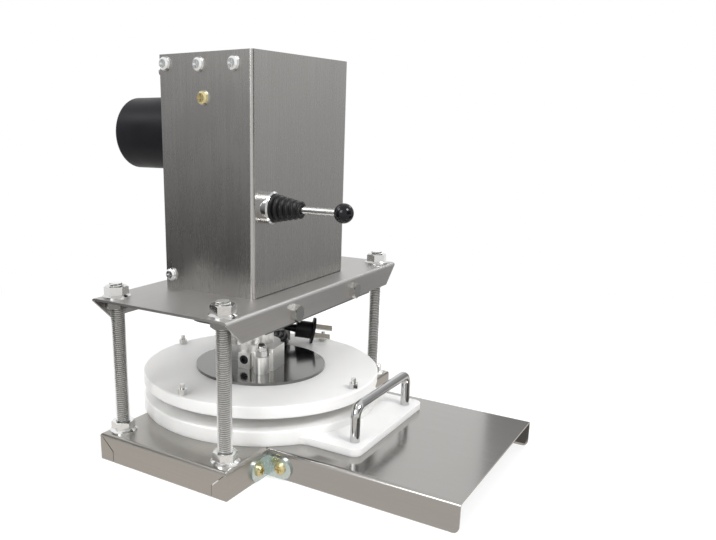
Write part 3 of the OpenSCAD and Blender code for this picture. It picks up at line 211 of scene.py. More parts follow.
# %% Spin the outline into the boot
MERGE = 1e-6
BOOT_SIDES = 48


def new_piece(name, shape):
    """Makes a smooth object at the origin from a bmesh, with its faces pointing out."""
    bmesh.ops.remove_doubles(shape, verts=shape.verts, dist=MERGE)
    bmesh.ops.recalc_face_normals(shape, faces=shape.faces)
    mesh = bpy.data.meshes.new(name)
    shape.to_mesh(mesh)
    shape.free()
    for face in mesh.polygons:
        face.use_smooth = True
    piece = bpy.data.objects.new(name, mesh)
    scene.collection.objects.link(piece)
    return piece


def outline(shape, points, closed=True):
    """Draws a line of edges through the points, and gives back its corners and edges."""
    corners = [shape.verts.new(p) for p in points]
    pairs = list(zip(corners, corners[1:])) + ([(corners[-1], corners[0])] if closed else [])
    return corners, [shape.edges.new(pair) for pair in pairs]


boot_shape = bmesh.new()
boot_points = [shared((STICK_X + r, y, STICK_Z)) for r, y in boot_line]
boot_verts, boot_edges = outline(boot_shape, boot_points)
bmesh.ops.spin(boot_shape, geom=boot_verts + boot_edges, cent=shared((STICK_X, 0, STICK_Z)), axis=(0, 1, 0),
               angle=math.tau, steps=BOOT_SIDES, use_merge=True)
rubber_boot = new_piece("rubber_boot", boot_shape)
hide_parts("joystick_boot")
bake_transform(rubber_boot)
print("boot with", len(rubber_boot.data.polygons), "faces")

# %% [markdown]
# ## The threaded rods
# The four posts are studding: steel rod with a thread all along it. A thread could be faked with a bump, but
# its teeth show against the light. One edge line with the teeth's zigzag is spun once round while it climbs
# by one pitch, so the end of each turn meets the start of the next. The ends are then cut flat and closed.

# %% Draw the thread's zigzag
# Each pitch has a flat root and a flat crest, which end and start at these parts of it. The line runs past both
# ends of the rod, to be cut there later.
ROD_D, ROD_PITCH, ROD_ROOT = 12, 1.75, 0.95
ROOT_END, CREST_START, CREST_END = 0.25, 0.56, 0.69
ROD_LOW, ROD_HIGH = 8, 154

root_r, crest_r = ROD_D / 2 - ROD_ROOT, ROD_D / 2
zigzag = []
z = ROD_LOW - 2 * ROD_PITCH
while z < ROD_HIGH + ROD_PITCH:
    zigzag += [(root_r, 0, z), (root_r, 0, z + ROOT_END * ROD_PITCH),
               (crest_r, 0, z + CREST_START * ROD_PITCH), (crest_r, 0, z + CREST_END * ROD_PITCH)]
    z += ROD_PITCH
print("zigzag of", len(zigzag), "points")

# %% Spin one rod
ROD_SIDES = 28
CHAMFER = 1.0
ON_PLANE = 1e-5


def threaded_rod():
    """A rod on the Z axis, in millimetres, with a helical thread and chamfered ends."""
    rod = bmesh.new()
    verts, edges = outline(rod, zigzag, closed=False)
    bmesh.ops.spin(rod, geom=verts + edges, cent=(0, 0, 0), axis=(0, 0, 1), angle=math.tau,
                   dvec=(0, 0, ROD_PITCH / ROD_SIDES), steps=ROD_SIDES, use_merge=False)
    bmesh.ops.remove_doubles(rod, verts=rod.verts, dist=MERGE * 1000)
    for level, side in ((ROD_LOW, -1), (ROD_HIGH, 1)):
        everything = rod.verts[:] + rod.edges[:] + rod.faces[:]
        cut = bmesh.ops.bisect_plane(rod, geom=everything, dist=ON_PLANE, plane_co=(0, 0, level),
                                     plane_no=(0, 0, side), clear_outer=True)
        rim = [e for e in cut["geom_cut"] if isinstance(e, bmesh.types.BMEdge)]
        bmesh.ops.holes_fill(rod, edges=rim, sides=0)
    for v in rod.verts:
        radius = math.hypot(v.co.x, v.co.y)
        limit = ROD_D / 2 - CHAMFER + max(0, min(v.co.z - ROD_LOW, ROD_HIGH - v.co.z))
        if radius > limit:
            v.co.x *= limit / radius
            v.co.y *= limit / radius
    return rod


rod_mesh = bpy.data.meshes.new("rod_pattern")
one_rod = threaded_rod()
one_rod.to_mesh(rod_mesh)
one_rod.free()
print("one rod with", len(rod_mesh.polygons), "faces")

# %% Copy it to the four corners
ROD_SPAN = (258, 110)

rods_shape = bmesh.new()
for side_x in (-1, 1):
    for side_y in (-1, 1):
        before = set(rods_shape.verts)
        rods_shape.from_mesh(rod_mesh)
        fresh = [v for v in rods_shape.verts if v not in before]
        bmesh.ops.translate(rods_shape, verts=fresh,
                            vec=(side_x * ROD_SPAN[0] / 2, side_y * ROD_SPAN[1] / 2 + AXIS_Y, 0))
bpy.data.meshes.remove(rod_mesh)
bmesh.ops.scale(rods_shape, verts=rods_shape.verts, vec=(0.001, 0.001, 0.001))
bmesh.ops.remove_doubles(rods_shape, verts=rods_shape.verts, dist=MERGE)
bmesh.ops.recalc_face_normals(rods_shape, faces=rods_shape.faces)
print("four rods with", len(rods_shape.faces), "faces")

# %% Paint shade into the grooves and finish the rods
# The thread's roots and the faces under its teeth get the second, darker of the rods' finishes: painted shade,
# which makes each turn of the thread show as a line.
GROOVE_R = 5.35
END_FACE = 0.9
UNDER_TOOTH = (-0.95, -0.2)
SHARP = math.radians(30)

painted_shade_faces = 0
for face in rods_shape.faces:
    middle = face.calc_center_median() * 1000
    off_x = abs(middle.x) - ROD_SPAN[0] / 2
    off_y = abs(middle.y - AXIS_Y) - ROD_SPAN[1] / 2
    in_root = math.hypot(off_x, off_y) < GROOVE_R and abs(face.normal.z) < END_FACE
    if in_root or UNDER_TOOTH[0] < face.normal.z < UNDER_TOOTH[1]:
        face.material_index = 1
        painted_shade_faces += 1
for edge in rods_shape.edges:
    edge.smooth = len(edge.link_faces) == 2 and edge.calc_face_angle() < SHARP
threaded_rods = new_piece("threaded_rods", rods_shape)
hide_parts("tie_rods")
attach(threaded_rods, "frame")
print("rods finished,", painted_shade_faces, "faces in the grooves")

# %% [markdown]
# ## Effects that finishes share
# Steel, plating, plastic and rubber each need colour, gloss and small relief that change over the surface.
# The nodes for them could be repeated in every material. An effect that several finishes share is made once
# instead, as a node group: long streaks for brushed sheet, cloudy marks for handling, and a mask of the worn
# edges. Each finish then places it with its own values.

# %% Node helpers
# A Mix node has two inputs and an output for each kind of data. They share their names, so they go by number.
FLOAT_A, FLOAT_B, FLOAT_OUT = 2, 3, 0
VECTOR_A, VECTOR_B, VECTOR_OUT = 4, 5, 1
COLOUR_A, COLOUR_B, COLOUR_OUT = 6, 7, 2


def link_up(tree, start, start_socket, end, end_socket):
    """Links an output of one node to an input of another, each socket given by its name or number."""
    tree.links.new(start.outputs[start_socket], end.inputs[end_socket])


def new_group(name, vectors, value):
    """A shader node group that takes the named vectors and gives one named value."""
    group = bpy.data.node_groups.new(name, "ShaderNodeTree")
    for label in vectors:
        group.interface.new_socket(label, in_out="INPUT", socket_type="NodeSocketVector")
    group.interface.new_socket(value, in_out="OUTPUT", socket_type="NodeSocketFloat")
    return group, group.nodes.new("NodeGroupInput"), group.nodes.new("NodeGroupOutput")


def add_noise(tree, scale, detail, roughness=0.55):
    """A noise pattern: how often it changes in one unit, how many finer layers it has, how strong these are."""
    noise = tree.nodes.new("ShaderNodeTexNoise")
    noise.inputs["Scale"].default_value = scale
    noise.inputs["Detail"].default_value = detail
    noise.inputs["Roughness"].default_value = roughness
    return noise


def add_range(tree, span, result=(0.0, 1.0)):
    """A node that stretches one span of values over another."""
    node = tree.nodes.new("ShaderNodeMapRange")
    for label, value in zip(("From Min", "From Max", "To Min", "To Max"), (*span, *result)):
        node.inputs[label].default_value = value
    return node


def add_math(tree, operation, second=None):
    """A Math node, with its second number where that is fixed."""
    node = tree.nodes.new("ShaderNodeMath")
    node.operation = operation
    if second is not None:
        node.inputs[1].default_value = second
    return node


def add_mix(tree, kind):
    """A Mix node for one kind of data."""
    node = tree.nodes.new("ShaderNodeMix")
    node.data_type = kind
    return node


# %% Brushed streaks
# The streaks follow one vector on faces that look along X and another on the rest, so that a folded sheet
# keeps long streaks on its side flanges too.
LOOKS_ALONG_X = 0.7
BROAD_SHARE = 0.2

streak_group, take, give = new_group("brushed_streaks", ["Vector", "Side Vector"], "Streak")
surface = streak_group.nodes.new("ShaderNodeNewGeometry")
split = streak_group.nodes.new("ShaderNodeSeparateXYZ")
link_up(streak_group, surface, "Normal", split, "Vector")
along_x = add_math(streak_group, "ABSOLUTE")
link_up(streak_group, split, "X", along_x, 0)
sideways = add_math(streak_group, "GREATER_THAN", LOOKS_ALONG_X)
link_up(streak_group, along_x, "Value", sideways, 0)
pick = add_mix(streak_group, "VECTOR")
link_up(streak_group, sideways, "Value", pick, "Factor")
link_up(streak_group, take, "Vector", pick, VECTOR_A)
link_up(streak_group, take, "Side Vector", pick, VECTOR_B)
fine = add_noise(streak_group, scale=1.0, detail=3.0, roughness=0.6)
broad = add_noise(streak_group, scale=0.12, detail=2.0, roughness=0.5)
link_up(streak_group, pick, VECTOR_OUT, fine, "Vector")
link_up(streak_group, pick, VECTOR_OUT, broad, "Vector")
both = add_mix(streak_group, "FLOAT")
both.inputs["Factor"].default_value = BROAD_SHARE
link_up(streak_group, fine, "Fac", both, FLOAT_A)
link_up(streak_group, broad, "Fac", both, FLOAT_B)
link_up(streak_group, both, FLOAT_OUT, give, "Streak")
print("group", streak_group.name)

# %% Handling marks
MARK_SPAN = (0.35, 0.7)

mark_group, take, give = new_group("handling_marks", ["Vector"], "Mark")
cloud = add_noise(mark_group, scale=26.0, detail=5.0, roughness=0.6)
link_up(mark_group, take, "Vector", cloud, "Vector")
firm = add_range(mark_group, MARK_SPAN)
link_up(mark_group, cloud, "Fac", firm, "Value")
link_up(mark_group, firm, "Result", give, "Mark")
print("group", mark_group.name)

# %% Worn edges
# A Bevel node bends the normal only close to an edge. Where it differs from the true normal, there is an edge.
EDGE_WIDTH = 0.0008
EDGE_SAMPLES = 4
BENT_SPAN = (0.995, 0.8)
CHIP_SPAN, CHIP_WEAR = (0.35, 0.65), (0.6, 1.0)

edge_group, take, give = new_group("worn_edges", ["Vector"], "Edge")
rounded = edge_group.nodes.new("ShaderNodeBevel")
rounded.samples = EDGE_SAMPLES
rounded.inputs["Radius"].default_value = EDGE_WIDTH
true_normal = edge_group.nodes.new("ShaderNodeNewGeometry")
match = edge_group.nodes.new("ShaderNodeVectorMath")
match.operation = "DOT_PRODUCT"
link_up(edge_group, rounded, "Normal", match, 0)
link_up(edge_group, true_normal, "Normal", match, 1)
near_edge = add_range(edge_group, BENT_SPAN)
link_up(edge_group, match, "Value", near_edge, "Value")
chips = add_noise(edge_group, scale=900.0, detail=2.0)
link_up(edge_group, take, "Vector", chips, "Vector")
patchy = add_range(edge_group, CHIP_SPAN, CHIP_WEAR)
link_up(edge_group, chips, "Fac", patchy, "Value")
worn = add_math(edge_group, "MULTIPLY")
link_up(edge_group, near_edge, "Result", worn, 0)
link_up(edge_group, patchy, "Result", worn, 1)
link_up(edge_group, worn, "Value", give, "Edge")
print("group", edge_group.name)

# %% What every finish starts with
RELIEF_DEPTH = 0.0003
NOISE_SPAN = (0.3, 0.7)  # a noise seldom leaves this span


def place_group(tree, group):
    """Places a node group in a material."""
    node = tree.nodes.new("ShaderNodeGroup")
    node.node_tree = group
    return node


def start_finish(name, tone, metallic):
    """A material with its shader and Object coordinates, ready for its own pattern."""
    material = bpy.data.materials.new(name)
    material.use_nodes = True
    tree = material.node_tree
    shader = tree.nodes["Principled BSDF"]
    shader.inputs["Metallic"].default_value = metallic
    material.diffuse_color = (*tone, 1)
    spots = tree.nodes.new("ShaderNodeTexCoord")
    return material, tree, shader, spots


def vary_colour(tree, shader, tone, swing, source, socket):
    """Links the base colour: the tone made darker and lighter by a value between 0 and 1."""
    colours = add_mix(tree, "RGBA")
    colours.inputs[COLOUR_A].default_value = (*[c * (1 - swing) for c in tone], 1)
    colours.inputs[COLOUR_B].default_value = (*[min(1, c * (1 + swing)) for c in tone], 1)
    link_up(tree, source, socket, colours, "Factor")
    link_up(tree, colours, COLOUR_OUT, shader, "Base Color")
    return colours


def vary_roughness(tree, roughness, swing, source, socket):
    """A roughness made glossier and duller by a value between 0 and 1."""
    rough = add_range(tree, (0.0, 1.0), [roughness + step for step in swing])
    link_up(tree, source, socket, rough, "Value")
    return rough


def add_relief(tree, shader, strength, source, socket):
    """Links a small relief that follows a pattern."""
    relief = tree.nodes.new("ShaderNodeBump")
    relief.inputs["Strength"].default_value = strength
    relief.inputs["Distance"].default_value = RELIEF_DEPTH
    link_up(tree, source, socket, relief, "Height")
    link_up(tree, relief, "Normal", shader, "Normal")


# %% [markdown]
# ## Brushed sheet
# Base, plate, box, lid, tray and disc are stainless sheet with the fine streaks of a brush. An anisotropic
# shader could smear the reflections along them, but it would leave the streaks themselves out. Here a noise
# that is squeezed across the brushing and drawn out along it changes colour, gloss and relief together.

# %% Brushed sheet
SHEET_ROUGHNESS = (-0.02, 0.03)
MARK_ROUGHNESS = 0.04


def brushed_sheet(name, tone, roughness, stretch, side_stretch, swing, strength):
    """Brushed steel with faint handling marks that dull it."""
    material, tree, shader, spots = start_finish(name, tone, metallic=1.0)
    grain = place_group(tree, streak_group)
    for label, scale in (("Vector", stretch), ("Side Vector", side_stretch)):
        lay = tree.nodes.new("ShaderNodeMapping")
        lay.inputs["Scale"].default_value = scale
        link_up(tree, spots, "Object", lay, "Vector")
        link_up(tree, lay, "Vector", grain, label)
    cloud = place_group(tree, mark_group)
    link_up(tree, spots, "Object", cloud, "Vector")
    firm = add_range(tree, NOISE_SPAN)
    link_up(tree, grain, "Streak", firm, "Value")
    vary_colour(tree, shader, tone, swing, firm, "Result")
    rough = vary_roughness(tree, roughness, SHEET_ROUGHNESS, firm, "Result")
    smear = add_math(tree, "MULTIPLY_ADD", MARK_ROUGHNESS)
    link_up(tree, cloud, "Mark", smear, 0)
    link_up(tree, rough, "Result", smear, 2)
    link_up(tree, smear, "Value", shader, "Roughness")
    add_relief(tree, shader, strength, grain, "Streak")
    return material


# How often the streaks change in a metre along X, Y and Z
UPRIGHT = (1700, 1700, 14)
ACROSS = (14, 1700, 1700)
LENGTHWISE = (1700, 14, 1700)
SHEETS = {
    # tone, roughness, streaks, streaks on faces that look along X, swing of colour, strength of relief
    "box_steel": ((0.43, 0.42, 0.405), 0.25, UPRIGHT, UPRIGHT, 0.04, 0.012),
    "plate_steel": ((0.48, 0.47, 0.46), 0.4, ACROSS, LENGTHWISE, 0.05, 0.03),
    "base_steel": ((0.42, 0.405, 0.38), 0.28, ACROSS, LENGTHWISE, 0.05, 0.03),
    "tray_steel": ((0.41, 0.40, 0.385), 0.14, LENGTHWISE, LENGTHWISE, 0.03, 0.012),
    "lid_steel": ((0.43, 0.42, 0.405), 0.3, ACROSS, LENGTHWISE, 0.06, 0.04),
    "disc_steel": ((0.20, 0.20, 0.194), 0.12, ACROSS, LENGTHWISE, 0.03, 0.01),
}
finishes = {name: brushed_sheet(name, *values) for name, values in SHEETS.items()}
print("brushed finishes:", ", ".join(SHEETS))

# %% [markdown]
# ## Plated and turned hardware
# Nuts, screws and rods are steel with a skin of zinc, the handle and the bezel have one of chrome, and the ram
# and its hub are ground bare. One plain grey would make them all look alike. Plating is a little cloudy from
# close by and rubbed bright along its edges, so a fine noise and the mask of worn edges make the difference.

# %% Plated and turned hardware
PLATING_ROUGHNESS = (-0.03, 0.04)
PLATING_RELIEF = 0.006
RUBBED_GAIN, RUBBED_LIFT = 1.35, 0.05


def plated_metal(name, tone, roughness, swing, wear):
    """Plating with cloudy gloss, lighter where its edges are worn."""
    material, tree, shader, spots = start_finish(name, tone, metallic=1.0)
    cloud = add_noise(tree, scale=420.0, detail=4.0)
    link_up(tree, spots, "Object", cloud, "Vector")
    firm = add_range(tree, NOISE_SPAN)
    link_up(tree, cloud, "Fac", firm, "Value")
    colours = vary_colour(tree, shader, tone, swing, firm, "Result")
    edge = place_group(tree, edge_group)
    link_up(tree, spots, "Object", edge, "Vector")
    shown = add_math(tree, "MULTIPLY", wear)
    link_up(tree, edge, "Edge", shown, 0)
    bright = add_mix(tree, "RGBA")
    bright.inputs[COLOUR_B].default_value = (*[min(1, c * RUBBED_GAIN + RUBBED_LIFT) for c in tone], 1)
    link_up(tree, shown, "Value", bright, "Factor")
    link_up(tree, colours, COLOUR_OUT, bright, COLOUR_A)
    link_up(tree, bright, COLOUR_OUT, shader, "Base Color")
    rough = vary_roughness(tree, roughness, PLATING_ROUGHNESS, firm, "Result")
    link_up(tree, rough, "Result", shader, "Roughness")
    add_relief(tree, shader, PLATING_RELIEF, cloud, "Fac")
    return material


METALS = {
    # tone, roughness, swing of colour, wear of edges
    "zinc": ((0.67, 0.67, 0.66), 0.14, 0.04, 0.3),
    # a lighter zinc: the screws' own finish, and painted light on the nuts on the base, the same nuts as on the
    # plate made lighter
    "screw_zinc_and_painted_lit_nuts": ((0.84, 0.85, 0.85), 0.17, 0.04, 0.3),
    "bolt_zinc": ((0.50, 0.50, 0.48), 0.08, 0.06, 0.3),
    # painted shade: the nuts under the plate are plain zinc, made darker for the plate's shade over them
    "painted_shade_zinc": ((0.20, 0.20, 0.19), 0.26, 0.06, 0.3),
    "blue_zinc": ((0.60, 0.69, 0.68), 0.24, 0.06, 0.3),
    "rod_zinc": ((0.96, 0.96, 0.95), 0.34, 0.04, 0.0),
    # painted shade: a darker copy of the rods' zinc for the thread roots and the faces under the teeth
    "rod_painted_shade": ((0.23, 0.23, 0.22), 0.45, 0.08, 0.0),
    "yellow_zinc": ((0.68, 0.59, 0.33), 0.24, 0.08, 0.5),
    "bright_chrome": ((0.53, 0.53, 0.53), 0.1, 0.03, 0.0),
    "ground_steel": ((0.96, 0.955, 0.93), 0.36, 0.02, 0.0),
    "dark_iron": ((0.16, 0.16, 0.165), 0.42, 0.2, 0.5),
    "black_steel": ((0.05, 0.05, 0.052), 0.4, 0.2, 0.5),
    "bronze": ((0.52, 0.34, 0.17), 0.36, 0.12, 0.5),
    "gear_alloy": ((0.38, 0.38, 0.39), 0.5, 0.1, 0.3),
    "blade_metal": ((0.72, 0.71, 0.66), 0.24, 0.06, 0.5),
}
finishes.update({name: plated_metal(name, *values) for name, values in METALS.items()})
print("metal finishes:", ", ".join(METALS))

# %% [markdown]
# ## Plastic, rubber and paint
# The press plates are a white plastic, the motor is painted black, and knob, boot, plug and cord are moulded.
# Such surfaces differ in gloss and in the size of their grain, so one recipe with other values does for all.
# In the white plastic, light goes a little way in and softens the shading, which the shader's subsurface gives.

# %% Plastic, rubber and paint
MOULDED_ROUGHNESS = (-0.06, 0.08)


def moulded(name, tone, roughness, grain_scale, swing, strength, shine):
    """A moulded or painted surface: fine grain, slow change of colour, scuffed gloss."""
    material, tree, shader, spots = start_finish(name, tone, metallic=0.0)
    shader.inputs["Specular IOR Level"].default_value = shine
    cloud = place_group(tree, mark_group)
    link_up(tree, spots, "Object", cloud, "Vector")
    vary_colour(tree, shader, tone, swing, cloud, "Mark")
    rough = vary_roughness(tree, roughness, MOULDED_ROUGHNESS, cloud, "Mark")
    link_up(tree, rough, "Result", shader, "Roughness")
    grain = add_noise(tree, grain_scale, detail=3.0)
    link_up(tree, spots, "Object", grain, "Vector")
    add_relief(tree, shader, strength, grain, "Fac")
    return material


MOULDINGS = {
    # tone, roughness, scale of grain, swing of colour, strength of relief, shine
    "press_white": ((0.93, 0.925, 0.91), 0.4, 700, 0.015, 0.03, 0.5),
    "motor_black": ((0.008, 0.008, 0.011), 0.4, 900, 0.2, 0.06, 0.13),
    "black_plastic": ((0.010, 0.010, 0.012), 0.38, 1200, 0.15, 0.06, 0.25),
    "knob_black": ((0.004, 0.004, 0.006), 0.08, 500, 0.1, 0.004, 0.3),
    "black_rubber": ((0.005, 0.005, 0.006), 0.36, 1500, 0.2, 0.08, 0.26),
    "cream_plastic": ((0.72, 0.67, 0.54), 0.4, 900, 0.05, 0.06, 0.5),
    "tie_white": ((0.62, 0.62, 0.60), 0.45, 900, 0.05, 0.06, 0.5),
}
MILKY = {"Subsurface Weight": 0.6, "Subsurface Radius": (1.0, 0.97, 0.9), "Subsurface Scale": 0.008}
finishes.update({name: moulded(name, *values) for name, values in MOULDINGS.items()})
milky_shader = finishes["press_white"].node_tree.nodes["Principled BSDF"]
for label, value in MILKY.items():
    milky_shader.inputs[label].default_value = value
print("moulded finishes:", ", ".join(MOULDINGS))

# %% [markdown]
# ## Dressing the pieces
# A solid from the CAD model keeps its mesh as it came. Its finish could be set on the mesh too, but here every
# material slot is linked to the object, so that only the object changes. The pieces that were modelled above
# carry their finishes on their own meshes, and the rods have two: one for the crests, and a darker one of
# painted shade for the grooves.

# %% Put each finish on its pieces
PIECES_BY_FINISH = {
    "box_steel": ["cover_shell", "back_panel"],
    "lid_steel": ["top_lid"],
    "plate_steel": ["top_plate"],
    "disc_steel": ["flange_disc"],
    "base_steel": ["base_frame"],
    "tray_steel": ["slide_tray"],
    "zinc": ["base_under_nuts", "plate_top_nuts", "screw_washers", "disc_bolts", "disc_nuts", "hub_studs",
             "dome_nuts", "capacitor_clip", "joystick_nut", "joystick_stick", "handle_screws", "run_capacitor"],
    # the nuts on the base take the lighter zinc as painted light; the screws wear it as their own finish
    "screw_zinc_and_painted_lit_nuts": ["base_top_nuts", "cover_screws", "back_screws"],
    "bolt_zinc": ["flange_bolts"],
    # the nuts under the plate wear the darkened zinc as painted shade
    "painted_shade_zinc": ["plate_under_nuts"],
    "blue_zinc": ["corner_brackets"],
    "yellow_zinc": ["bracket_screws", "bracket_nuts", "clip_screw"],
    "bright_chrome": ["pull_handle", "joystick_bezel"],
    "ground_steel": ["press_ram", "ram_rack", "pinion_shaft", "clamp_hub", "drive_pinion"],
    "dark_iron": ["guide_beam", "drive_frame"],
    "black_steel": ["pinch_screw", "frame_screws", "gearbox_screws"],
    "bronze": ["beam_bush", "upper_guide", "shaft_bearings"],
    "gear_alloy": ["gearbox_case"],
    "blade_metal": ["plug_blades"],
    "press_white": ["press_disc", "lower_plate"],
    "motor_black": ["motor_can"],
    "black_plastic": ["switch_body", "plug_body", "cord_gland"],
    "knob_black": ["joystick_ball"],
    "cream_plastic": ["terminal_block"],
    "tie_white": ["coil_tie"],
}
dressed = set()
for finish, names in PIECES_BY_FINISH.items():
    for name in names:
        for place in nodes[name].material_slots:
            place.link = "OBJECT"
            place.material = finishes[finish]
        dressed.add(name)
for piece, finish in ((mains_cord, "black_rubber"), (rubber_boot, "black_rubber"),
                      (threaded_rods, "rod_zinc"), (threaded_rods, "rod_painted_shade")):
    piece.data.materials.append(finishes[finish])
print("dressed", len(dressed), "solids; new pieces stand for:", sorted(set(nodes) - dressed))

# %% [markdown]
# ## The floor
# The press stands on a pale floor that fades to white. A white floor that is only lit looks grey, and one that
# only glows has no shadow. So near the press the camera and the reflections see a floor that does some of both,
# and further off plain white. The light that falls on it goes back as from any pale floor.

# %% Helpers for the stage
def stage_card(name, corners, material):
    """A flat sheet that belongs to the stage, not to the press."""
    shape = bmesh.new()
    shape.faces.new([shape.verts.new(c) for c in corners])
    mesh = bpy.data.meshes.new(name)
    shape.to_mesh(mesh)
    shape.free()
    card = bpy.data.objects.new(name, mesh)
    scene.collection.objects.link(card)
    card.data.materials.append(material)
    return card


def level_corners(low_corner, high_corner, level):
    """The corners of a level rectangle, from two opposite ones."""
    (x0, y0), (x1, y1) = low_corner, high_corner
    return [(x0, y0, level), (x1, y0, level), (x1, y1, level), (x0, y1, level)]


def bare_material(name):
    """A material without a shader, and its node tree."""
    material = bpy.data.materials.new(name)
    material.use_nodes = True
    tree = material.node_tree
    tree.nodes.remove(tree.nodes["Principled BSDF"])
    return material, tree


def seen_directly(tree):
    """One where the ray comes from the camera, a reflection or glass, and zero for the light that falls."""
    path = tree.nodes.new("ShaderNodeLightPath")
    value = path.outputs["Is Camera Ray"]
    for label in ("Is Glossy Ray", "Is Transmission Ray"):
        add = add_math(tree, "MAXIMUM")
        tree.links.new(value, add.inputs[0])
        link_up(tree, path, label, add, 1)
        value = add.outputs[0]
    return value


# %% Paint and lay the floor
FLOOR_REACH = 4.0
FLOOR_GREY, FLOOR_GLOW = 0.5, 0.6
BOUNCE_GREY = 0.8
WHITE_SPAN = (0.35, 0.75)

floor_paint, tree = bare_material("floor_paint")
lit = tree.nodes.new("ShaderNodeBsdfDiffuse")
lit.inputs["Color"].default_value = (FLOOR_GREY, FLOOR_GREY, FLOOR_GREY, 1)
glow = tree.nodes.new("ShaderNodeEmission")
glow.inputs["Strength"].default_value = FLOOR_GLOW
plain = tree.nodes.new("ShaderNodeBsdfDiffuse")
plain.inputs["Color"].default_value = (BOUNCE_GREY, BOUNCE_GREY, BOUNCE_GREY, 1)
total = tree.nodes.new("ShaderNodeAddShader")
choose = tree.nodes.new("ShaderNodeMixShader")
link_up(tree, lit, "BSDF", total, 0)
link_up(tree, glow, "Emission", total, 1)
white = tree.nodes.new("ShaderNodeEmission")
far_off = tree.nodes.new("ShaderNodeMixShader")
spots = tree.nodes.new("ShaderNodeTexCoord")
reach = tree.nodes.new("ShaderNodeVectorMath")
reach.operation = "LENGTH"
link_up(tree, spots, "Object", reach, 0)
fade = add_range(tree, WHITE_SPAN)
link_up(tree, reach, "Value", fade, "Value")
link_up(tree, fade, "Result", far_off, "Fac")
link_up(tree, total, "Shader", far_off, 1)
link_up(tree, white, "Emission", far_off, 2)
tree.links.new(seen_directly(tree), choose.inputs["Fac"])
link_up(tree, plain, "BSDF", choose, 1)
link_up(tree, far_off, "Shader", choose, 2)
link_up(tree, choose, "Shader", tree.nodes["Material Output"], "Surface")
stage_card("floor", level_corners((-FLOOR_REACH, -FLOOR_REACH), (FLOOR_REACH, FLOOR_REACH), 0), floor_paint)
print("floor of", 2 * FLOOR_REACH, "m laid")

# %% [markdown]
# ## Grey cards
# Polished steel shows what is around it, and amid nothing but white its faces and facets would all look alike.
# As in a studio, three grey cards stand around the press, and a mat with three darker patches lies under it.
# Only reflections see them: they hide nothing from the camera, and they take no light away.

# %% Helpers for cards
WARM = (1, 0.95, 0.90)


def card_paint(name, levels, tones, tint=(1, 1, 1)):
    """A paint of its own even light, from one grey at the lower level to another at the upper one."""
    material, tree = bare_material(name)
    paint = tree.nodes.new("ShaderNodeEmission")
    paint.inputs["Color"].default_value = (*tint, 1)
    spots = tree.nodes.new("ShaderNodeTexCoord")
    split = tree.nodes.new("ShaderNodeSeparateXYZ")
    link_up(tree, spots, "Object", split, "Vector")
    rise = add_range(tree, levels, tones)
    link_up(tree, split, "Z", rise, "Value")
    link_up(tree, rise, "Result", paint, "Strength")
    link_up(tree, paint, "Emission", tree.nodes["Material Output"], "Surface")
    return material


def only_reflected(card):
    """Hides a card from everything but reflections."""
    card.visible_camera = False
    card.visible_diffuse = False
    card.visible_shadow = False
    card.visible_transmission = False


def upright_card(name, place, bearing, width, levels, tones):
    """An upright card between two levels, square to its bearing from the press."""
    facing = math.radians(bearing)
    across = Vector((-math.sin(facing), math.cos(facing), 0)) * width / 2
    foot = Vector((*place, levels[0]))
    rise = Vector((0, 0, levels[1] - levels[0]))
    corners = [foot - across, foot + across, foot + across + rise, foot - across + rise]
    only_reflected(stage_card(name, corners, card_paint(name + "_paint", levels, tones)))


def flat_card(name, low_corner, high_corner, level, tone):
    """A warm grey card that lies level near the floor."""
    paint = card_paint(name + "_paint", (0, 1), (tone, tone), WARM)
    only_reflected(stage_card(name, level_corners(low_corner, high_corner, level), paint))


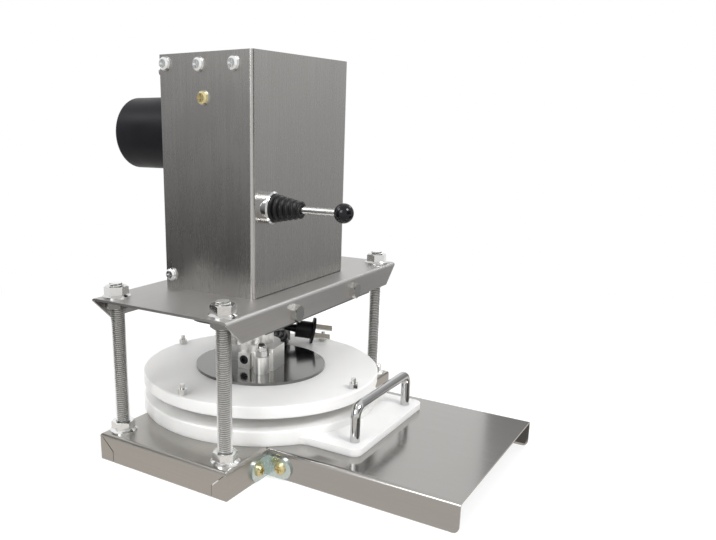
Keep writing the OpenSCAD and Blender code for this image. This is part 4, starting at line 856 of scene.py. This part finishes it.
# %% Set up the cards
UPRIGHT_CARDS = (
    # name, place, bearing, width, lower and upper level, greys there
    ("left_card", (-0.31, 0.235), 146, 0.30, (0.06, 0.42), (0.0, 0.58)),
    ("right_card", (0.265, -0.205), -34, 0.32, (0, 0.42), (0.27, 0.7)),
    ("front_card", (-0.05, -0.85), -90, 0.8, (0.14, 0.6), (0.04, 0.3)),
)
FLAT_CARDS = (
    # name, two opposite corners, level, grey
    ("mat", (-0.6, -0.6), (0.6, 0.6), 0.0005, 0.82),
    ("tray_shade", (-0.085, -0.185), (0.085, -0.03), 0.001, 0.16),
    ("left_shade", (-0.6, 0.14), (-0.26, 0.6), 0.001, 0.1),
    ("right_shade", (0.0, -0.6), (0.4, -0.28), 0.001, 0.1),
)
for card in UPRIGHT_CARDS:
    upright_card(*card)
for card in FLAT_CARDS:
    flat_card(*card)
print("cards:", len(UPRIGHT_CARDS), "upright,", len(FLAT_CARDS), "flat")

# %% [markdown]
# ## Light
# The light is a white sky with four large lamps around the press. One lamp would cast hard shadows and leave
# half of the press dark, while a sky alone would make it look flat. The sky shows white in the picture and
# in the steel, and lights the press at about half that strength.

# %% Hang the lamps
LAMP_TARGET = Vector((0, 0.04, 0.15))
LAMPS = (
    # name, place, width and height, power in watts
    ("front_lamp", (-0.16, -1.1, 1.25), (0.5, 0.5), 13),
    ("back_lamp", (-0.8, 0.95, 1.25), (0.5, 0.5), 5),
    ("left_lamp", (-1.45, 0.1, 0.92), (0.7, 0.7), 9),
    ("right_lamp", (1.25, -0.42, 0.95), (0.5, 0.5), 3.5),
)
for name, place, sides, power in LAMPS:
    lamp = bpy.data.lights.new(name, "AREA")
    lamp.shape = "RECTANGLE"
    lamp.size, lamp.size_y = sides
    lamp.energy = power
    holder = bpy.data.objects.new(name, lamp)
    scene.collection.objects.link(holder)
    holder.location = place
    holder.rotation_euler = look_along(LAMP_TARGET - Vector(place))
print("lamps:", len(LAMPS), "with", sum(power for *_, power in LAMPS), "W in all")

# %% Light the sky
SKY_LIGHT, SKY_SEEN = 0.55, 1.0

world = bpy.data.worlds.new("studio")
scene.world = world
world.use_nodes = True
sky = world.node_tree
back = sky.nodes["Background"]
strength = add_range(sky, (0.0, 1.0), (SKY_LIGHT, SKY_SEEN))
sky.links.new(seen_directly(sky), strength.inputs["Value"])
link_up(sky, strength, "Result", back, "Strength")
back.inputs["Color"].default_value = (1, 1, 1, 1)
scene.view_settings.view_transform = "Standard"
print("sky", SKY_SEEN, "to the camera and to reflections,", SKY_LIGHT, "as light")
